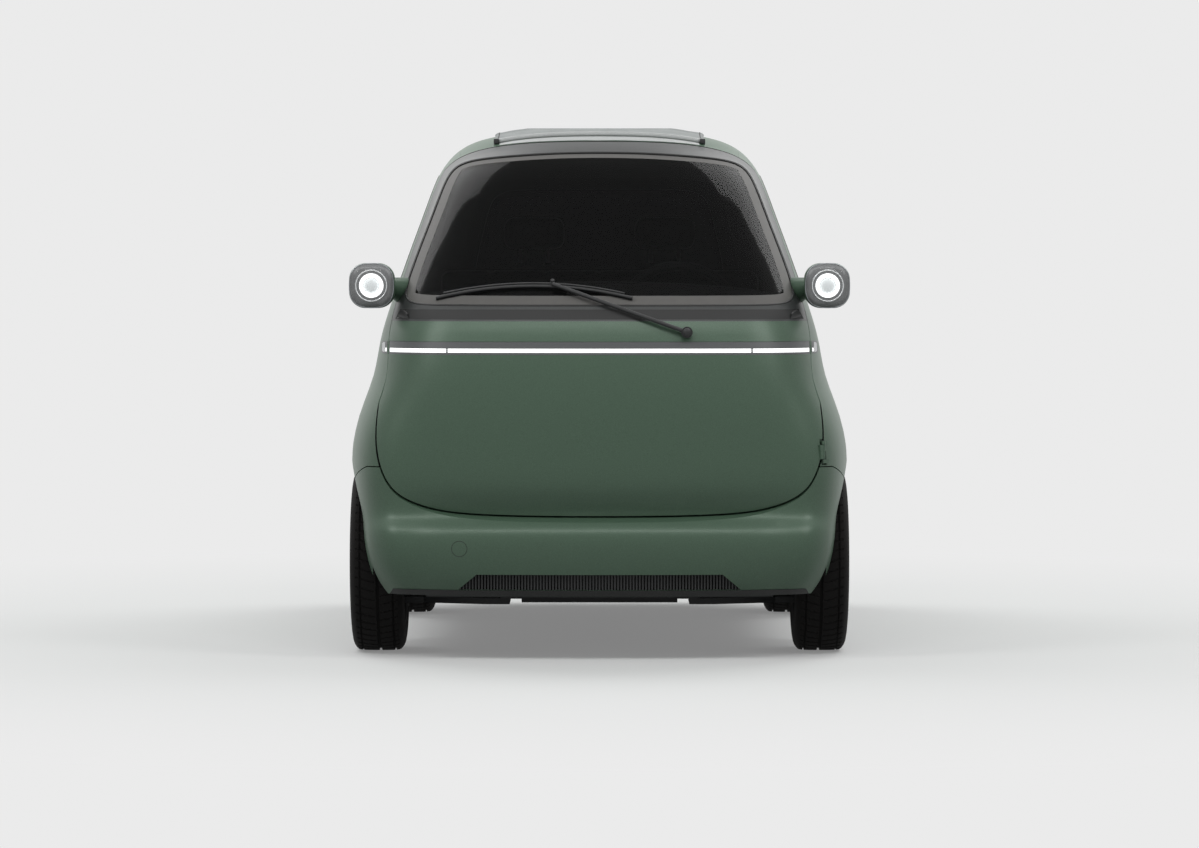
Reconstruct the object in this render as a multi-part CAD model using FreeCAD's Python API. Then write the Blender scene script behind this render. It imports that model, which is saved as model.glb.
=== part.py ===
import FreeCAD, Part
from FreeCAD import Vector
import math
import os

# Electric bubble car for two, with one full-width front door. Millimetres, front at -Y, the car's left at +X,
# up at +Z. The origin is on the ground, under the middle of the car.

# Driving dimensions
body_length = 2519.0
body_width = 1400.0
body_height = 1530.0
wheelbase = 1566.0
front_axle_y = -790.0
rear_axle_y = front_axle_y + wheelbase
tyre_diameter = 533.0
tyre_width = 158.0
rim_diameter = 340.0
front_track = 1286.0
rear_track = 1222.0
wall_thickness = 30.0
glass_thickness = 5.0
glass_sink = 3.0
shut_gap = 6.0
running_clearance = 0.05
seat_clearance = 0.3
arch_radius = 296.0
front_housing_radius = 322.0
rear_housing_radius = 302.0
sill_height = 235.0
overrun = 400.0

axle_z = tyre_diameter / 2

os.makedirs("parts", exist_ok=True)
pieces = {}


def point(x, y, z):
    return Vector(x, y, z)


def block(low_x, high_x, low_y, high_y, low_z, high_z):
    return Part.makeBox(high_x - low_x, high_y - low_y, high_z - low_z, point(low_x, low_y, low_z))


def rod(radius, start, end):
    axis = end - start
    return Part.makeCylinder(radius, axis.Length, start, axis)


def tube(radius, bore, start, end):
    return rod(radius, start, end).cut(rod(bore, start, end))


def rounded(shape, radius, direction):
    """Fillets the straight edges of a shape that lie along one direction."""
    edges = [e for e in shape.Edges if abs(abs(e.tangentAt(e.FirstParameter).dot(direction)) - 1) < 1e-6]
    return shape.makeFillet(radius, edges)


def mirrored(shape):
    return shape.mirror(point(0, 0, 0), Vector(1, 0, 0))


def closed_curve(points):
    """A smooth closed wire that rounds the corners of a polygon."""
    curve = Part.BSplineCurve()
    curve.buildFromPoles(points, True, 3)
    low, high = curve.FirstParameter, curve.LastParameter
    stretches = 4
    ends = [low + (high - low) * k / stretches for k in range(stretches + 1)]
    return Part.Wire([curve.toShape(a, b) for a, b in zip(ends, ends[1:])])


def polygon(points):
    return Part.makePolygon(points + [points[0]])


def prism(wire, direction):
    return Part.Face(wire).extrude(direction)


def both_sides(half):
    """A closed front-view outline from its +X half, which runs from the bottom centre to the top centre."""
    return half[1:] + [(-x, z) for x, z in reversed(half[:-1]) if x > 0] + half[:1]


# Body skin. Each ring goes once round the car: front centre (y, z), widest place (x, z) and rear centre (y, z), as
# shares of half the length, half the width and the height, then the roundness powers of its corners.
widest_y = -60.0
ring_shares = [
    (-0.9250, 0.0980, 0.9229, 0.0980, 0.9250, 0.0980, 9.0, 6.5),
    (-0.9448, 0.1471, 0.9557, 0.1471, 0.9464, 0.1471, 9.0, 6.5),
    (-0.9543, 0.1928, 0.9757, 0.1928, 0.9512, 0.1928, 9.0, 6.5),
    (-0.9512, 0.2353, 0.9871, 0.2353, 0.9512, 0.2353, 9.0, 6.5),
    (-0.9448, 0.2732, 0.9929, 0.2745, 0.9496, 0.2745, 9.0, 6.5),
    (-0.9631, 0.3203, 0.9971, 0.3235, 0.9702, 0.3203, 8.5, 6.3),
    (-0.9694, 0.3856, 1.0000, 0.3856, 0.9774, 0.3791, 8.0, 6.0),
    (-0.9694, 0.4575, 0.9957, 0.4575, 0.9734, 0.4444, 7.5, 5.6),
    (-0.9631, 0.5261, 0.9757, 0.5261, 0.9623, 0.5065, 7.2, 5.2),
    (-0.9504, 0.5882, 0.9486, 0.5882, 0.9416, 0.5654, 7.0, 4.8),
    (-0.9250, 0.6438, 0.9143, 0.6471, 0.9099, 0.6209, 7.0, 4.5),
    (-0.8718, 0.7007, 0.8700, 0.7092, 0.8638, 0.6797, 7.0, 4.2),
    (-0.8019, 0.7634, 0.8186, 0.7778, 0.8019, 0.7418, 7.0, 4.0),
    (-0.7304, 0.8268, 0.7636, 0.8484, 0.7265, 0.8039, 6.6, 3.8),
    (-0.6574, 0.8895, 0.7100, 0.9098, 0.6352, 0.8641, 6.0, 3.6),
    (-0.5780, 0.9458, 0.6371, 0.9569, 0.5240, 0.9183, 5.0, 3.4),
    (-0.4859, 0.9804, 0.5243, 0.9856, 0.3732, 0.9673, 4.2, 3.2),
    (-0.3811, 1.0000, 0.3643, 1.0000, 0.1588, 1.0000, 3.6, 3.0),
]
skin_bottom_z = ring_shares[0][1] * body_height
quarter_steps = 14
corner_weight = 260.0
nose_bow = 42.0
front_taper_share = 0.04
fender_bulge = 44.0
rear_fender_bulge = 20.0
fender_spread = 330.0
fender_inner_x = 500.0
fender_outer_x = 640.0
cap_tolerance = 5.0
bulge_top_z = 765.0
bulge_full_z = 640.0


def quadrant(half_width, length, power, steps):
    """Points of a rounded corner from (0, length) to (half_width, 0), closer together where it turns."""
    fine_steps = 400
    fine = []
    for k in range(fine_steps + 1):
        angle = math.pi / 2 * k / fine_steps
        fine.append((half_width * max(math.sin(angle), 0) ** (2 / power),
                     length * max(math.cos(angle), 0) ** (2 / power)))
    travelled = [0.0]
    heading = 0.0
    for (xa, ya), (xb, yb) in zip(fine, fine[1:]):
        turned = math.atan2(ya - yb, xb - xa)
        travelled.append(travelled[-1] + math.hypot(xb - xa, yb - ya) + corner_weight * (turned - heading))
        heading = turned
    even = [fine[0]]
    at = 0
    for k in range(1, steps):
        target = travelled[-1] * k / steps
        while travelled[at + 1] < target:
            at += 1
        share = (target - travelled[at]) / (travelled[at + 1] - travelled[at])
        even.append(tuple(a + share * (b - a) for a, b in zip(fine[at], fine[at + 1])))
    return even + [fine[-1]]


def ring_points(ring):
    """Points once round the car at one level, from the rear centre over +X to the front and back over -X."""
    front_y, rear_y = ring[0] * body_length / 2, ring[4] * body_length / 2
    front_z, side_z, rear_z = ring[1] * body_height, ring[3] * body_height, ring[5] * body_height
    half_width = ring[2] * body_width / 2
    front_power, rear_power = ring[6:]
    front = quadrant(half_width, widest_y - front_y, front_power, quarter_steps)
    rear = quadrant(half_width, rear_y - widest_y, rear_power, quarter_steps)
    half = []
    for x, run in rear:
        share = run / (rear_y - widest_y)
        half.append(point(x, widest_y + run, side_z + (rear_z - side_z) * share ** 2))
    for x, run in reversed(front[:-1]):
        share = run / (widest_y - front_y)
        bow = nose_bow * (x / half_width) ** 2 * share ** 2
        narrow = 1 - front_taper_share * share
        half.append(point(x * narrow, widest_y - run + bow, side_z + (front_z - side_z) * share ** 2))
    other = [point(-p.x, p.y, p.z) for p in reversed(half[1:-1])]
    return half + other


def skin_surface(grid):
    """A smooth surface through a grid of points: closed round the car, open at its first and last ring."""
    around = len(grid[0])
    poles = [list(ring) for ring in grid]
    relaxing_rounds = 24
    for _ in range(relaxing_rounds):
        full = [[a * 2 - b for a, b in zip(poles[0], poles[1])]] + poles
        full += [[a * 2 - b for a, b in zip(poles[-1], poles[-2])]]
        rows = [[(r[i - 1] + r[i] * 4 + r[(i + 1) % around]) / 6 for i in range(around)] for r in full]
        for j, goal in enumerate(grid):
            for i in range(around):
                on_skin = (rows[j][i] + rows[j + 1][i] * 4 + rows[j + 2][i]) / 6
                poles[j][i] = poles[j][i] + (goal[i] - on_skin)
    full = [[a * 2 - b for a, b in zip(poles[0], poles[1])]] + poles
    full += [[a * 2 - b for a, b in zip(poles[-1], poles[-2])]]
    levels = len(full)
    net = [[full[j][i % around] for j in range(levels)] for i in range(-1, around + 2)]
    count = len(net)
    surface = Part.BSplineSurface()
    surface.buildFromPolesMultsKnots(net, [1] * (count + 4), [1] * (levels + 4), list(range(count + 4)),
                                     list(range(levels + 4)), False, False, 3, 3)
    surface.segment(3, 3 + around, 3, levels)
    return surface


def moved_grid(surface, grid, distance):
    """The grid moved along the surface's outward normals by distance(point)."""
    moved = []
    for j, ring in enumerate(grid):
        row = []
        for i, at in enumerate(ring):
            normal = surface.normal(3 + i, 3 + j)
            if normal.dot(at - point(0, widest_y, at.z / 2 + skin_bottom_z)) < 0:
                normal = normal * -1
            row.append(at + normal * distance(at))
        moved.append(row)
    return moved


def smooth_step(value, low, high):
    share = min(max((value - low) / (high - low), 0), 1)
    return share * share * (3 - 2 * share)


def fender_height(at):
    """How far the fenders stand out of the plain skin."""
    level = 1 - smooth_step(at.z, bulge_full_z, bulge_top_z)
    side = smooth_step(abs(at.x), fender_inner_x, fender_outer_x)
    front = fender_bulge * math.exp(-(max(at.y - front_axle_y, 0) / fender_spread) ** 2)
    rear = rear_fender_bulge * math.exp(-(min(at.y - rear_axle_y, 0) / fender_spread) ** 2)
    return level * side * (front + rear)


def closed_skin(grid, bottom_z, top_z):
    """A solid inside one skin, closed flat at its lowest and highest ring."""
    flat = [list(ring) for ring in grid]
    flat[0] = [point(p.x, p.y, bottom_z) for p in flat[0]]
    flat[-1] = [point(p.x, p.y, top_z) for p in flat[-1]]
    around = len(grid[0])
    levels = len(grid) + 2
    halves = []
    for first in (3, 3 + around // 2):
        surface = skin_surface(flat)
        surface.segment(first, first + around // 2, 3, levels)
        halves.append(surface.toShape())
    caps = []
    for level in (bottom_z, top_z):
        rim = [e for half in halves for e in half.Edges
               if abs(e.BoundBox.ZMax - level) + abs(e.BoundBox.ZMin - level) < cap_tolerance]
        caps.append(Part.Face(Part.Wire(Part.__sortEdges__(rim))))
    shell = Part.makeShell(halves + caps)
    shell.sewShape()
    solid = Part.makeSolid(shell)
    if solid.Volume < 0:
        solid.reverse()
    return solid


plain_grid = [ring_points(ring) for ring in ring_shares]
body_grid = moved_grid(skin_surface(plain_grid), plain_grid, fender_height)
body_surface = skin_surface(body_grid)


def body_solid(depth):
    """The solid under the body's skin at a depth below it. Under the skin itself it runs past both ends."""
    if depth == 0:
        return closed_skin(body_grid, skin_bottom_z, body_height)
    grid = moved_grid(body_surface, body_grid, lambda at: -depth)
    return closed_skin(grid, skin_bottom_z - shut_gap, body_height - depth)


outside = body_solid(0)
inside = body_solid(wall_thickness)
body_wall = outside.cut(inside)
glass_layer = body_solid(glass_sink).cut(body_solid(glass_sink + glass_thickness))

cabin_space = body_solid(wall_thickness + seat_clearance)


# Front door outline in the front view: shares of its half width and of its height, bottom centre to top centre.
# Above its lower corners the outline runs outside the skin, and the shut line of the side view takes over.
door_half_width = 647.0
door_bottom_z = 420.0
door_top_z = 1498.0
door_top_y = -640.0
door_belt_z = 968.0
door_edge_shares = [
    (0, 0), (0.25, 0), (0.45, 0.001), (0.62, 0.004), (0.76, 0.012), (0.87, 0.032), (0.95, 0.068), (1.0, 0.125),
    (1.022, 0.19), (1.04, 0.27), (1.07, 0.34), (1.14, 0.42), (1.24, 0.52), (1.30, 0.62), (1.30, 0.72), (1.30, 0.82),
    (1.29, 0.92), (1.26, 0.985), (1.16, 1.0), (0.95, 1.0), (0.7, 1.0), (0.5, 1.0), (0.25, 1.0), (0, 1.0),
]
door_taper_share = 1.5
door_taper_z = 800.0
door_outline_y = -1160.0
door_front_y = -1400.0
door_back_y = -400.0
shut_line_shares = [
    (-0.8638, 0.2484), (-0.8638, 0.3268), (-0.8630, 0.3922), (-0.8591, 0.4510), (-0.8464, 0.5033),
    (-0.8194, 0.5556), (-0.7765, 0.6046), (-0.7241, 0.6536), (-0.6685, 0.7026), (-0.6050, 0.7536),
    (-0.5462, 0.8052), (-0.4827, 0.8562), (-0.4168, 0.9052), (-0.3732, 0.9412), (-0.3493, 0.9673),
    (-0.3335, 1.0065), (-0.3255, 1.0458),
]


def outline_points(shares, half_width, low_z, high_z):
    return both_sides([(half_width * across, low_z + (high_z - low_z) * up) for across, up in shares])


def side_places(shares):
    """Places in the side view from shares of half the length and of the height."""
    return [(y * body_length / 2, z * body_height) for y, z in shares]


def door_ratio(y):
    """How much wider the door's opening is at one depth than at the depth of its outline."""
    return 1 + door_taper_share * (door_outline_y - y) / body_length


def door_cutter(grow):
    """The space of the door's opening, wider towards the front so that the door swings free of its frame."""
    top_z = door_taper_z + (door_top_z + grow - door_taper_z) / door_ratio(door_top_y)
    outline = outline_points(door_edge_shares, door_half_width + grow, door_bottom_z - grow, top_z)
    wires = []
    for y in (door_front_y, door_back_y):
        ratio = door_ratio(y)
        wires.append(closed_curve([point(x * ratio, y, door_taper_z + (z - door_taper_z) * ratio)
                                   for x, z in outline]))
    front_space = Part.makeLoft(wires, True, True)
    edge = Part.BSplineCurve()
    shut_line = side_places(shut_line_shares)
    edge.buildFromPoles([point(-body_length, y + grow, z) for y, z in shut_line])
    low_y, low_z = shut_line[0]
    high_y, high_z = shut_line[-1]
    around = Part.makePolygon([point(-body_length, high_y + grow, high_z), point(-body_length, -body_length, high_z),
                               point(-body_length, -body_length, low_z), point(-body_length, low_y + grow, low_z)])
    side_space = prism(Part.Wire([edge.toShape()] + around.Edges), point(2 * body_length, 0, 0))
    return front_space.common(side_space)


def front_cutter(shares, half_width, low_z, high_z, front_y, back_y):
    """A prism along Y with a smooth outline in the front or rear view."""
    outline = outline_points(shares, half_width, low_z, high_z)
    wire = closed_curve([point(x, front_y, z) for x, z in outline])
    return prism(wire, point(0, back_y - front_y, 0))


def level_slab(low_z, high_z):
    return block(-body_length, body_length, -body_length, body_length, low_z, high_z)


door_space = door_cutter(0)
door_opening = door_cutter(shut_gap)
door_wall = body_wall.common(door_space)

# Windscreen, from its black edge inwards
screen_half_width = 557.0
screen_bottom_z = 1010.0
screen_top_z = 1459.0
screen_shares = [
    (0, 0), (0.25, 0), (0.5, 0), (0.75, 0.002), (0.9, 0.004), (0.985, 0.018), (1.012, 0.07), (1.002, 0.145),
    (0.985, 0.22), (0.952, 0.34), (0.915, 0.47), (0.875, 0.61), (0.840, 0.74), (0.812, 0.83), (0.775, 0.905),
    (0.70, 0.95), (0.56, 0.97), (0.40, 0.985), (0.22, 0.998), (0, 1.002),
]
screen_front_y = -1300.0
screen_back_y = -480.0


def screen_cutter(grow):
    return front_cutter(screen_shares, screen_half_width + grow, screen_bottom_z - grow, screen_top_z + grow,
                        screen_front_y, screen_back_y)


light_bar_low_z = 872.0
light_bar_high_z = 910.0
light_bar_depth = 14.0
light_bar_inset = 3.0
light_bar_layer = body_solid(glass_sink / 3).cut(body_solid(light_bar_depth))
light_slot = level_slab(light_bar_low_z, light_bar_high_z).cut(body_solid(light_bar_depth + seat_clearance))
pieces["door_frame"] = door_wall.common(level_slab(door_belt_z, body_height)).cut(screen_cutter(0))
pieces["door_panel"] = door_wall.common(level_slab(0, door_belt_z - seat_clearance)).cut(light_slot)
pieces["windscreen"] = glass_layer.common(screen_cutter(-seat_clearance))
light_level = level_slab(light_bar_low_z + seat_clearance, light_bar_high_z - seat_clearance)
pieces["light_bar"] = light_bar_layer.common(light_level).common(door_cutter(-light_bar_inset))

# Tailgate and rear window
tail_half_width = 500.0
tail_bottom_z = 560.0
tail_top_z = 1418.0
tail_shares = [
    (0, 0), (0.3, 0), (0.6, 0), (0.82, 0.004), (0.95, 0.03), (1.0, 0.09), (1.0, 0.2), (1.0, 0.34), (0.98, 0.48),
    (0.94, 0.61), (0.89, 0.74), (0.84, 0.85), (0.79, 0.94), (0.70, 0.985), (0.55, 0.998), (0.3, 1), (0, 1),
]
tail_front_y = 480.0
tail_back_y = 1400.0
rear_window_half_width = 420.0
rear_window_bottom_z = 985.0
rear_window_top_z = 1375.0
rear_window_shares = [
    (0, 0), (0.3, 0), (0.6, 0), (0.83, 0.003), (0.96, 0.03), (1.0, 0.12), (0.98, 0.27), (0.955, 0.42),
    (0.92, 0.57), (0.885, 0.72), (0.85, 0.85), (0.80, 0.95), (0.70, 0.99), (0.5, 1), (0.25, 1), (0, 1),
]
tail_side_gap = 10.0
tail_space = front_cutter(tail_shares, tail_half_width, tail_bottom_z, tail_top_z, tail_front_y, tail_back_y)
tail_opening = front_cutter(tail_shares, tail_half_width + tail_side_gap, tail_bottom_z - shut_gap,
                            tail_top_z + shut_gap, tail_front_y, tail_back_y)


def rear_window_cutter(grow):
    return front_cutter(rear_window_shares, rear_window_half_width + grow, rear_window_bottom_z - grow,
                        rear_window_top_z + grow, tail_front_y, tail_back_y)


tail_lamp_low_z = 800.0
tail_lamp_high_z = 838.0
tail_slot = level_slab(tail_lamp_low_z, tail_lamp_high_z).cut(body_solid(light_bar_depth + seat_clearance))
tail_level = level_slab(tail_lamp_low_z + seat_clearance, tail_lamp_high_z - seat_clearance)
tail_lamp_space = front_cutter(tail_shares, tail_half_width - light_bar_inset, tail_bottom_z, tail_top_z,
                               tail_front_y, tail_back_y)
pieces["tailgate"] = body_wall.common(tail_space).cut(rear_window_cutter(0)).cut(tail_slot)
pieces["rear_window"] = glass_layer.common(rear_window_cutter(-seat_clearance))
pieces["tail_lamp_bar"] = light_bar_layer.common(tail_level).common(tail_lamp_space)

# Bumpers: each stands out of the plain skin below the door and the tailgate
bumper_bulge = 61.0
bumper_break_z = 366.0
bumper_top_z = 440.0
bumper_low_z = 187.0
rear_bumper_top_z = 545.0
bumper_side_y = -850.0
bumper_seam = 3.0
arch_inner_x = 650.0
bumper_reach_y = 1200.0
seam_front_z = 562.0
seam_corner_y = -1100.0
seam_corner_z = 550.0
seam_back_z = 482.0


def bumper_height(at):
    """How far the bumpers stand out of the body skin."""
    rise = smooth_step(at.z, skin_bottom_z - bumper_break_z, bumper_break_z)
    fall = 1 - smooth_step(at.z, bumper_break_z, bumper_top_z + wall_thickness)
    reach = smooth_step(abs(at.y), -front_axle_y + arch_radius - wall_thickness, bumper_reach_y)
    return bumper_bulge * min(rise, fall) * reach


bumper_grid = moved_grid(body_surface, body_grid, bumper_height)
bumper_wall = closed_skin(bumper_grid, skin_bottom_z, body_height).cut(inside)
wheel_arches = [rod(arch_radius, point(-body_length, y, axle_z), point(body_length, y, axle_z))
                for y in (front_axle_y, rear_axle_y)]


def bumper_region(grow):
    """The front bumper's place in the side view: its seam falls a little towards the wheel."""
    seam = [point(-body_length, -body_length, 0), point(-body_length, -body_length, seam_front_z + grow),
            point(-body_length, seam_corner_y, seam_corner_z + grow),
            point(-body_length, bumper_side_y, seam_back_z + grow), point(-body_length, bumper_side_y, 0)]
    return prism(polygon(seam), point(2 * body_length, 0, 0))


grille_half_width = 402.0
grille_top_half_width = 350.0
grille_low_z = 205.0
grille_high_z = 249.0
grille_outline = [point(-grille_half_width, -body_length, grille_low_z),
                  point(grille_half_width, -body_length, grille_low_z),
                  point(grille_top_half_width, -body_length, grille_high_z),
                  point(-grille_top_half_width, -body_length, grille_high_z)]
grille_space = prism(polygon(grille_outline), point(0, body_length, 0))
front_bumper = bumper_wall.common(bumper_region(0)).common(level_slab(bumper_low_z, body_height))
front_bumper = front_bumper.cut(door_opening).cut(wheel_arches[0])
front_bumper = front_bumper.cut(rod(front_housing_radius, point(-arch_inner_x, front_axle_y, axle_z),
                                    point(arch_inner_x, front_axle_y, axle_z)))
pieces["front_bumper"] = front_bumper.cut(grille_space)
rear_bumper = bumper_wall.common(block(-body_length, body_length, rear_axle_y, body_length, bumper_low_z,
                                       rear_bumper_top_z))
pieces["rear_bumper"] = rear_bumper.cut(wheel_arches[1])

# Side panels, with the wheel arches and the side windows cut, and the roof between them
roof_half_width = 415.0
roof_edge_z = 1300.0
window_shares = [
    (-0.5081, 0.6837), (-0.3176, 0.6797), (-0.0794, 0.6784), (0.1588, 0.6837), (0.3335, 0.6941),
    (0.4327, 0.7059), (0.4764, 0.7288), (0.4486, 0.7712), (0.3811, 0.8203), (0.2938, 0.8641),
    (0.1747, 0.8967), (0.0159, 0.9137), (-0.1588, 0.9163), (-0.2699, 0.9124), (-0.3573, 0.8967),
    (-0.4224, 0.8575), (-0.4827, 0.8072), (-0.5367, 0.7582), (-0.5836, 0.7137), (-0.5764, 0.6876),
]
window_middle_share = (-0.08, 0.79)


def side_window_cutter(grow):
    points = []
    middle_y, middle_z = side_places([window_middle_share])[0]
    for y, z in side_places(window_shares):
        run = math.hypot(y - middle_y, z - middle_z)
        points.append(point(roof_half_width - wall_thickness, y + (y - middle_y) * grow / run,
                            z + (z - middle_z) * grow / run))
    return prism(closed_curve(points), point(body_length, 0, 0))


roof_zone = block(-roof_half_width, roof_half_width, -body_length, body_length, roof_edge_z, body_length)
roof_zone_gap = block(-roof_half_width - seat_clearance, roof_half_width + seat_clearance, -body_length,
                      body_length, roof_edge_z - seat_clearance, body_length)
sunroof_half_width = 300.0
sunroof_front_y = -560.0
sunroof_back_y = 210.0
roof_wall = body_wall.cut(door_opening).cut(tail_opening).common(roof_zone)
pieces["roof_panel"] = roof_wall.cut(block(-sunroof_half_width, sunroof_half_width, sunroof_front_y,
                                           sunroof_back_y, roof_edge_z, body_length))
side_wall = body_wall.common(block(0, body_length, -body_length, body_length, sill_height, body_length))
side_wall = side_wall.cut(door_opening).cut(tail_opening).cut(roof_zone_gap).cut(wheel_arches[0])
side_wall = side_wall.cut(wheel_arches[1]).cut(bumper_region(bumper_seam)).cut(side_window_cutter(0))
side_wall = side_wall.cut(block(0, body_length, rear_axle_y, body_length, 0, rear_bumper_top_z + bumper_seam))
side_parts = sorted(side_wall.Solids, key=lambda part: part.Volume)
pieces["side_panel_left"] = side_parts[-1]
pieces["side_panel_right"] = mirrored(side_parts[-1])
window = glass_layer.common(side_window_cutter(-seat_clearance)).common(block(0, body_length, -body_length,
                                                                         body_length, 0, body_length))
pieces["side_window_left"] = window
pieces["side_window_right"] = mirrored(window)

# Hinges: a pin between two lugs on the body, and a barrel on the lid. The pocket round them is clear of both.
hinge_radius = 6.0
hinge_pin_radius = 3.0
hinge_half_length = 32.0
hinge_barrel_half_length = 20.0
hinge_lug_gap = 1.0
hinge_pocket = 5.0
hinge_arm_reach = 16.0


def hinge(centre, axis, body_arm, lid_arm):
    """One hinge: the body's lugs and pin, the lid's barrel and the pocket. Arms are boxes that reach each side."""
    pin = rod(hinge_pin_radius, centre - axis * hinge_half_length, centre + axis * hinge_half_length)
    lug_start = hinge_barrel_half_length + hinge_lug_gap
    lugs = [rod(hinge_radius, centre + axis * side * lug_start, centre + axis * side * hinge_half_length)
            for side in (-1, 1)]
    barrel = tube(hinge_radius, hinge_pin_radius + running_clearance, centre - axis * hinge_barrel_half_length,
                  centre + axis * hinge_barrel_half_length)
    reach = centre - axis * (hinge_half_length + hinge_pocket)
    pocket = rod(hinge_radius + hinge_pocket, reach, reach + axis * 2 * (hinge_half_length + hinge_pocket))
    spans = [rod(hinge_arm_reach, centre + axis * side * lug_start, centre + axis * side * hinge_half_length)
             for side in (-1, 1)]
    middle = rod(hinge_arm_reach, centre - axis * hinge_barrel_half_length,
                 centre + axis * hinge_barrel_half_length)
    bore = rod(hinge_pin_radius + running_clearance, reach, reach + axis * 2 * (hinge_half_length + hinge_pocket))
    fixed = pin.fuse(lugs + [body_arm.common(span) for span in spans])
    moving = barrel.fuse(lid_arm.common(middle).cut(bore))
    return fixed, moving, pocket


door_hinge_x = 640.0
door_hinge_y = -1131.0
door_hinge_z = 594.0
hinge_skin = body_solid(-hinge_radius)
body_arm = block(door_hinge_x, door_hinge_x + overrun, -body_length, overrun, 0, body_length)
door_arm = block(door_hinge_x - overrun, door_hinge_x, -body_length, door_hinge_y + hinge_radius / 2, 0,
                 body_length)
fixed, moving, pocket = hinge(point(door_hinge_x, door_hinge_y, door_hinge_z), Vector(0, 0, 1),
                              body_arm.common(hinge_skin), door_arm.common(hinge_skin))
pieces["side_panel_left"] = pieces["side_panel_left"].cut(pocket).fuse(fixed)
pieces["door_panel"] = pieces["door_panel"].cut(pocket).fuse(moving)

hinge_arm_back = 3.0
tail_hinge_y = 622.0
tail_hinge_z = 1422.0
tail_hinge_x = 250.0
for side in (-1, 1):
    centre = point(side * tail_hinge_x, tail_hinge_y, tail_hinge_z)
    roof_arm = block(-overrun, overrun, tail_hinge_y - overrun, tail_hinge_y, tail_hinge_z - hinge_arm_back,
                     tail_hinge_z + hinge_arm_back / 2)
    lid_arm = block(-overrun, overrun, tail_hinge_y - hinge_arm_back, tail_hinge_y + hinge_arm_back / 2,
                    tail_hinge_z - overrun, tail_hinge_z)
    fixed, moving, pocket = hinge(centre, Vector(1, 0, 0), roof_arm, lid_arm)
    pieces["roof_panel"] = pieces["roof_panel"].cut(pocket).fuse(fixed)
    pieces["tailgate"] = pieces["tailgate"].cut(pocket).fuse(moving)

# Sunroof: a raised pad of fabric over the roof's opening
sunroof_overlap = 16.0
sunroof_rise = 5.0
sunroof_space = block(-sunroof_half_width - sunroof_overlap, sunroof_half_width + sunroof_overlap,
                      sunroof_front_y - sunroof_overlap, sunroof_back_y + sunroof_overlap, roof_edge_z, body_length)
pieces["sunroof"] = body_solid(-sunroof_rise).common(sunroof_space).cut(body_solid(-seat_clearance))

# Grille: a comb of upright ribs in the bumper's lower opening
grille_pitch = 8.8
grille_rib_width = 4.4
grille_front_y = -1236.0
grille_root_y = -1212.0
grille_back_y = -1192.0
grille_bow = 26.0
rib_count = int(grille_half_width / grille_pitch)
comb = []
for k in range(-rib_count, rib_count + 1):
    middle_x = k * grille_pitch
    bow = grille_bow * (middle_x / grille_half_width) ** 2
    comb += [(middle_x - grille_rib_width / 2, grille_root_y + bow), (middle_x - grille_rib_width / 2,
                                                                      grille_front_y + bow),
             (middle_x + grille_rib_width / 2, grille_front_y + bow), (middle_x + grille_rib_width / 2,
                                                                       grille_root_y + bow)]
comb += [(grille_half_width, grille_root_y + grille_bow), (grille_half_width, grille_back_y + grille_bow),
         (0, grille_back_y), (-grille_half_width, grille_back_y + grille_bow),
         (-grille_half_width, grille_root_y + grille_bow)]
comb_shape = prism(polygon([point(x, y, grille_low_z) for x, y in comb]), point(0, 0, grille_high_z - grille_low_z))
pieces["front_grille"] = comb_shape.common(grille_space)

# Floor, sills, seat box and the beams that carry the bumpers
floor_low_z = 178.0
floor_high_z = 198.0
floor_front_y = -1165.0
floor_back_y = 478.0
front_well_x = 424.0
rear_well_x = 512.0
well_wall = 4.0
beam_half_width = 560.0
front_beam_back_y = -1122.0
front_beam_high_z = 360.0
rear_beam_front_y = 1120.0
luggage_floor_z = 540.0
luggage_floor_thickness = 14.0
bulkhead_thickness = 14.0
rear_beam_low_z = 300.0
seat_box_top = 14.0
rail_inner_x = 300.0
rail_outer_x = 350.0
rail_low_z = 480.0
sill_inner_x = 560.0
sill_high_z = 330.0
seat_box_half_width = 430.0
seat_box_front_y = -180.0
seat_box_back_y = 450.0
seat_box_high_z = 440.0
seat_box_wall = 5.0


def well(radius, y, inner_x, outer_x):
    return rod(radius, point(inner_x, y, axle_z), point(outer_x, y, axle_z))


def wells(grow):
    shapes = [well(front_housing_radius + well_wall + grow, front_axle_y, front_well_x - grow, body_length),
              well(rear_housing_radius + well_wall + grow, rear_axle_y, rear_well_x - grow, body_length)]
    return shapes + [mirrored(shape) for shape in shapes]


def hull_block(low_x, high_x, low_y, high_y, low_z, high_z):
    return block(low_x, high_x, low_y, high_y, low_z, high_z).common(cabin_space)


floor = hull_block(-body_length, body_length, floor_front_y, floor_back_y, floor_low_z, floor_high_z)
floor_parts = [hull_block(-beam_half_width, beam_half_width, -body_length, front_beam_back_y, floor_low_z,
                          front_beam_high_z)]
for side in (-1, 1):
    low, high = sorted((side * sill_inner_x, side * body_length))
    floor_parts.append(hull_block(low, high, floor_front_y, floor_back_y, floor_low_z, sill_high_z))
    low, high = sorted((side * rail_inner_x, side * rail_outer_x))
    floor_parts.append(hull_block(low, high, floor_back_y, body_length, rail_low_z, luggage_floor_z - seat_clearance))
floor_parts.append(hull_block(-beam_half_width, beam_half_width, rear_beam_front_y, body_length, rear_beam_low_z,
                              luggage_floor_z - seat_clearance))
bulkhead = hull_block(-beam_half_width, beam_half_width, floor_back_y - bulkhead_thickness, floor_back_y,
                      floor_low_z, luggage_floor_z - seat_clearance)
seat_box = block(-seat_box_half_width, seat_box_half_width, seat_box_front_y, seat_box_back_y, floor_high_z,
                 seat_box_high_z)
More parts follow.
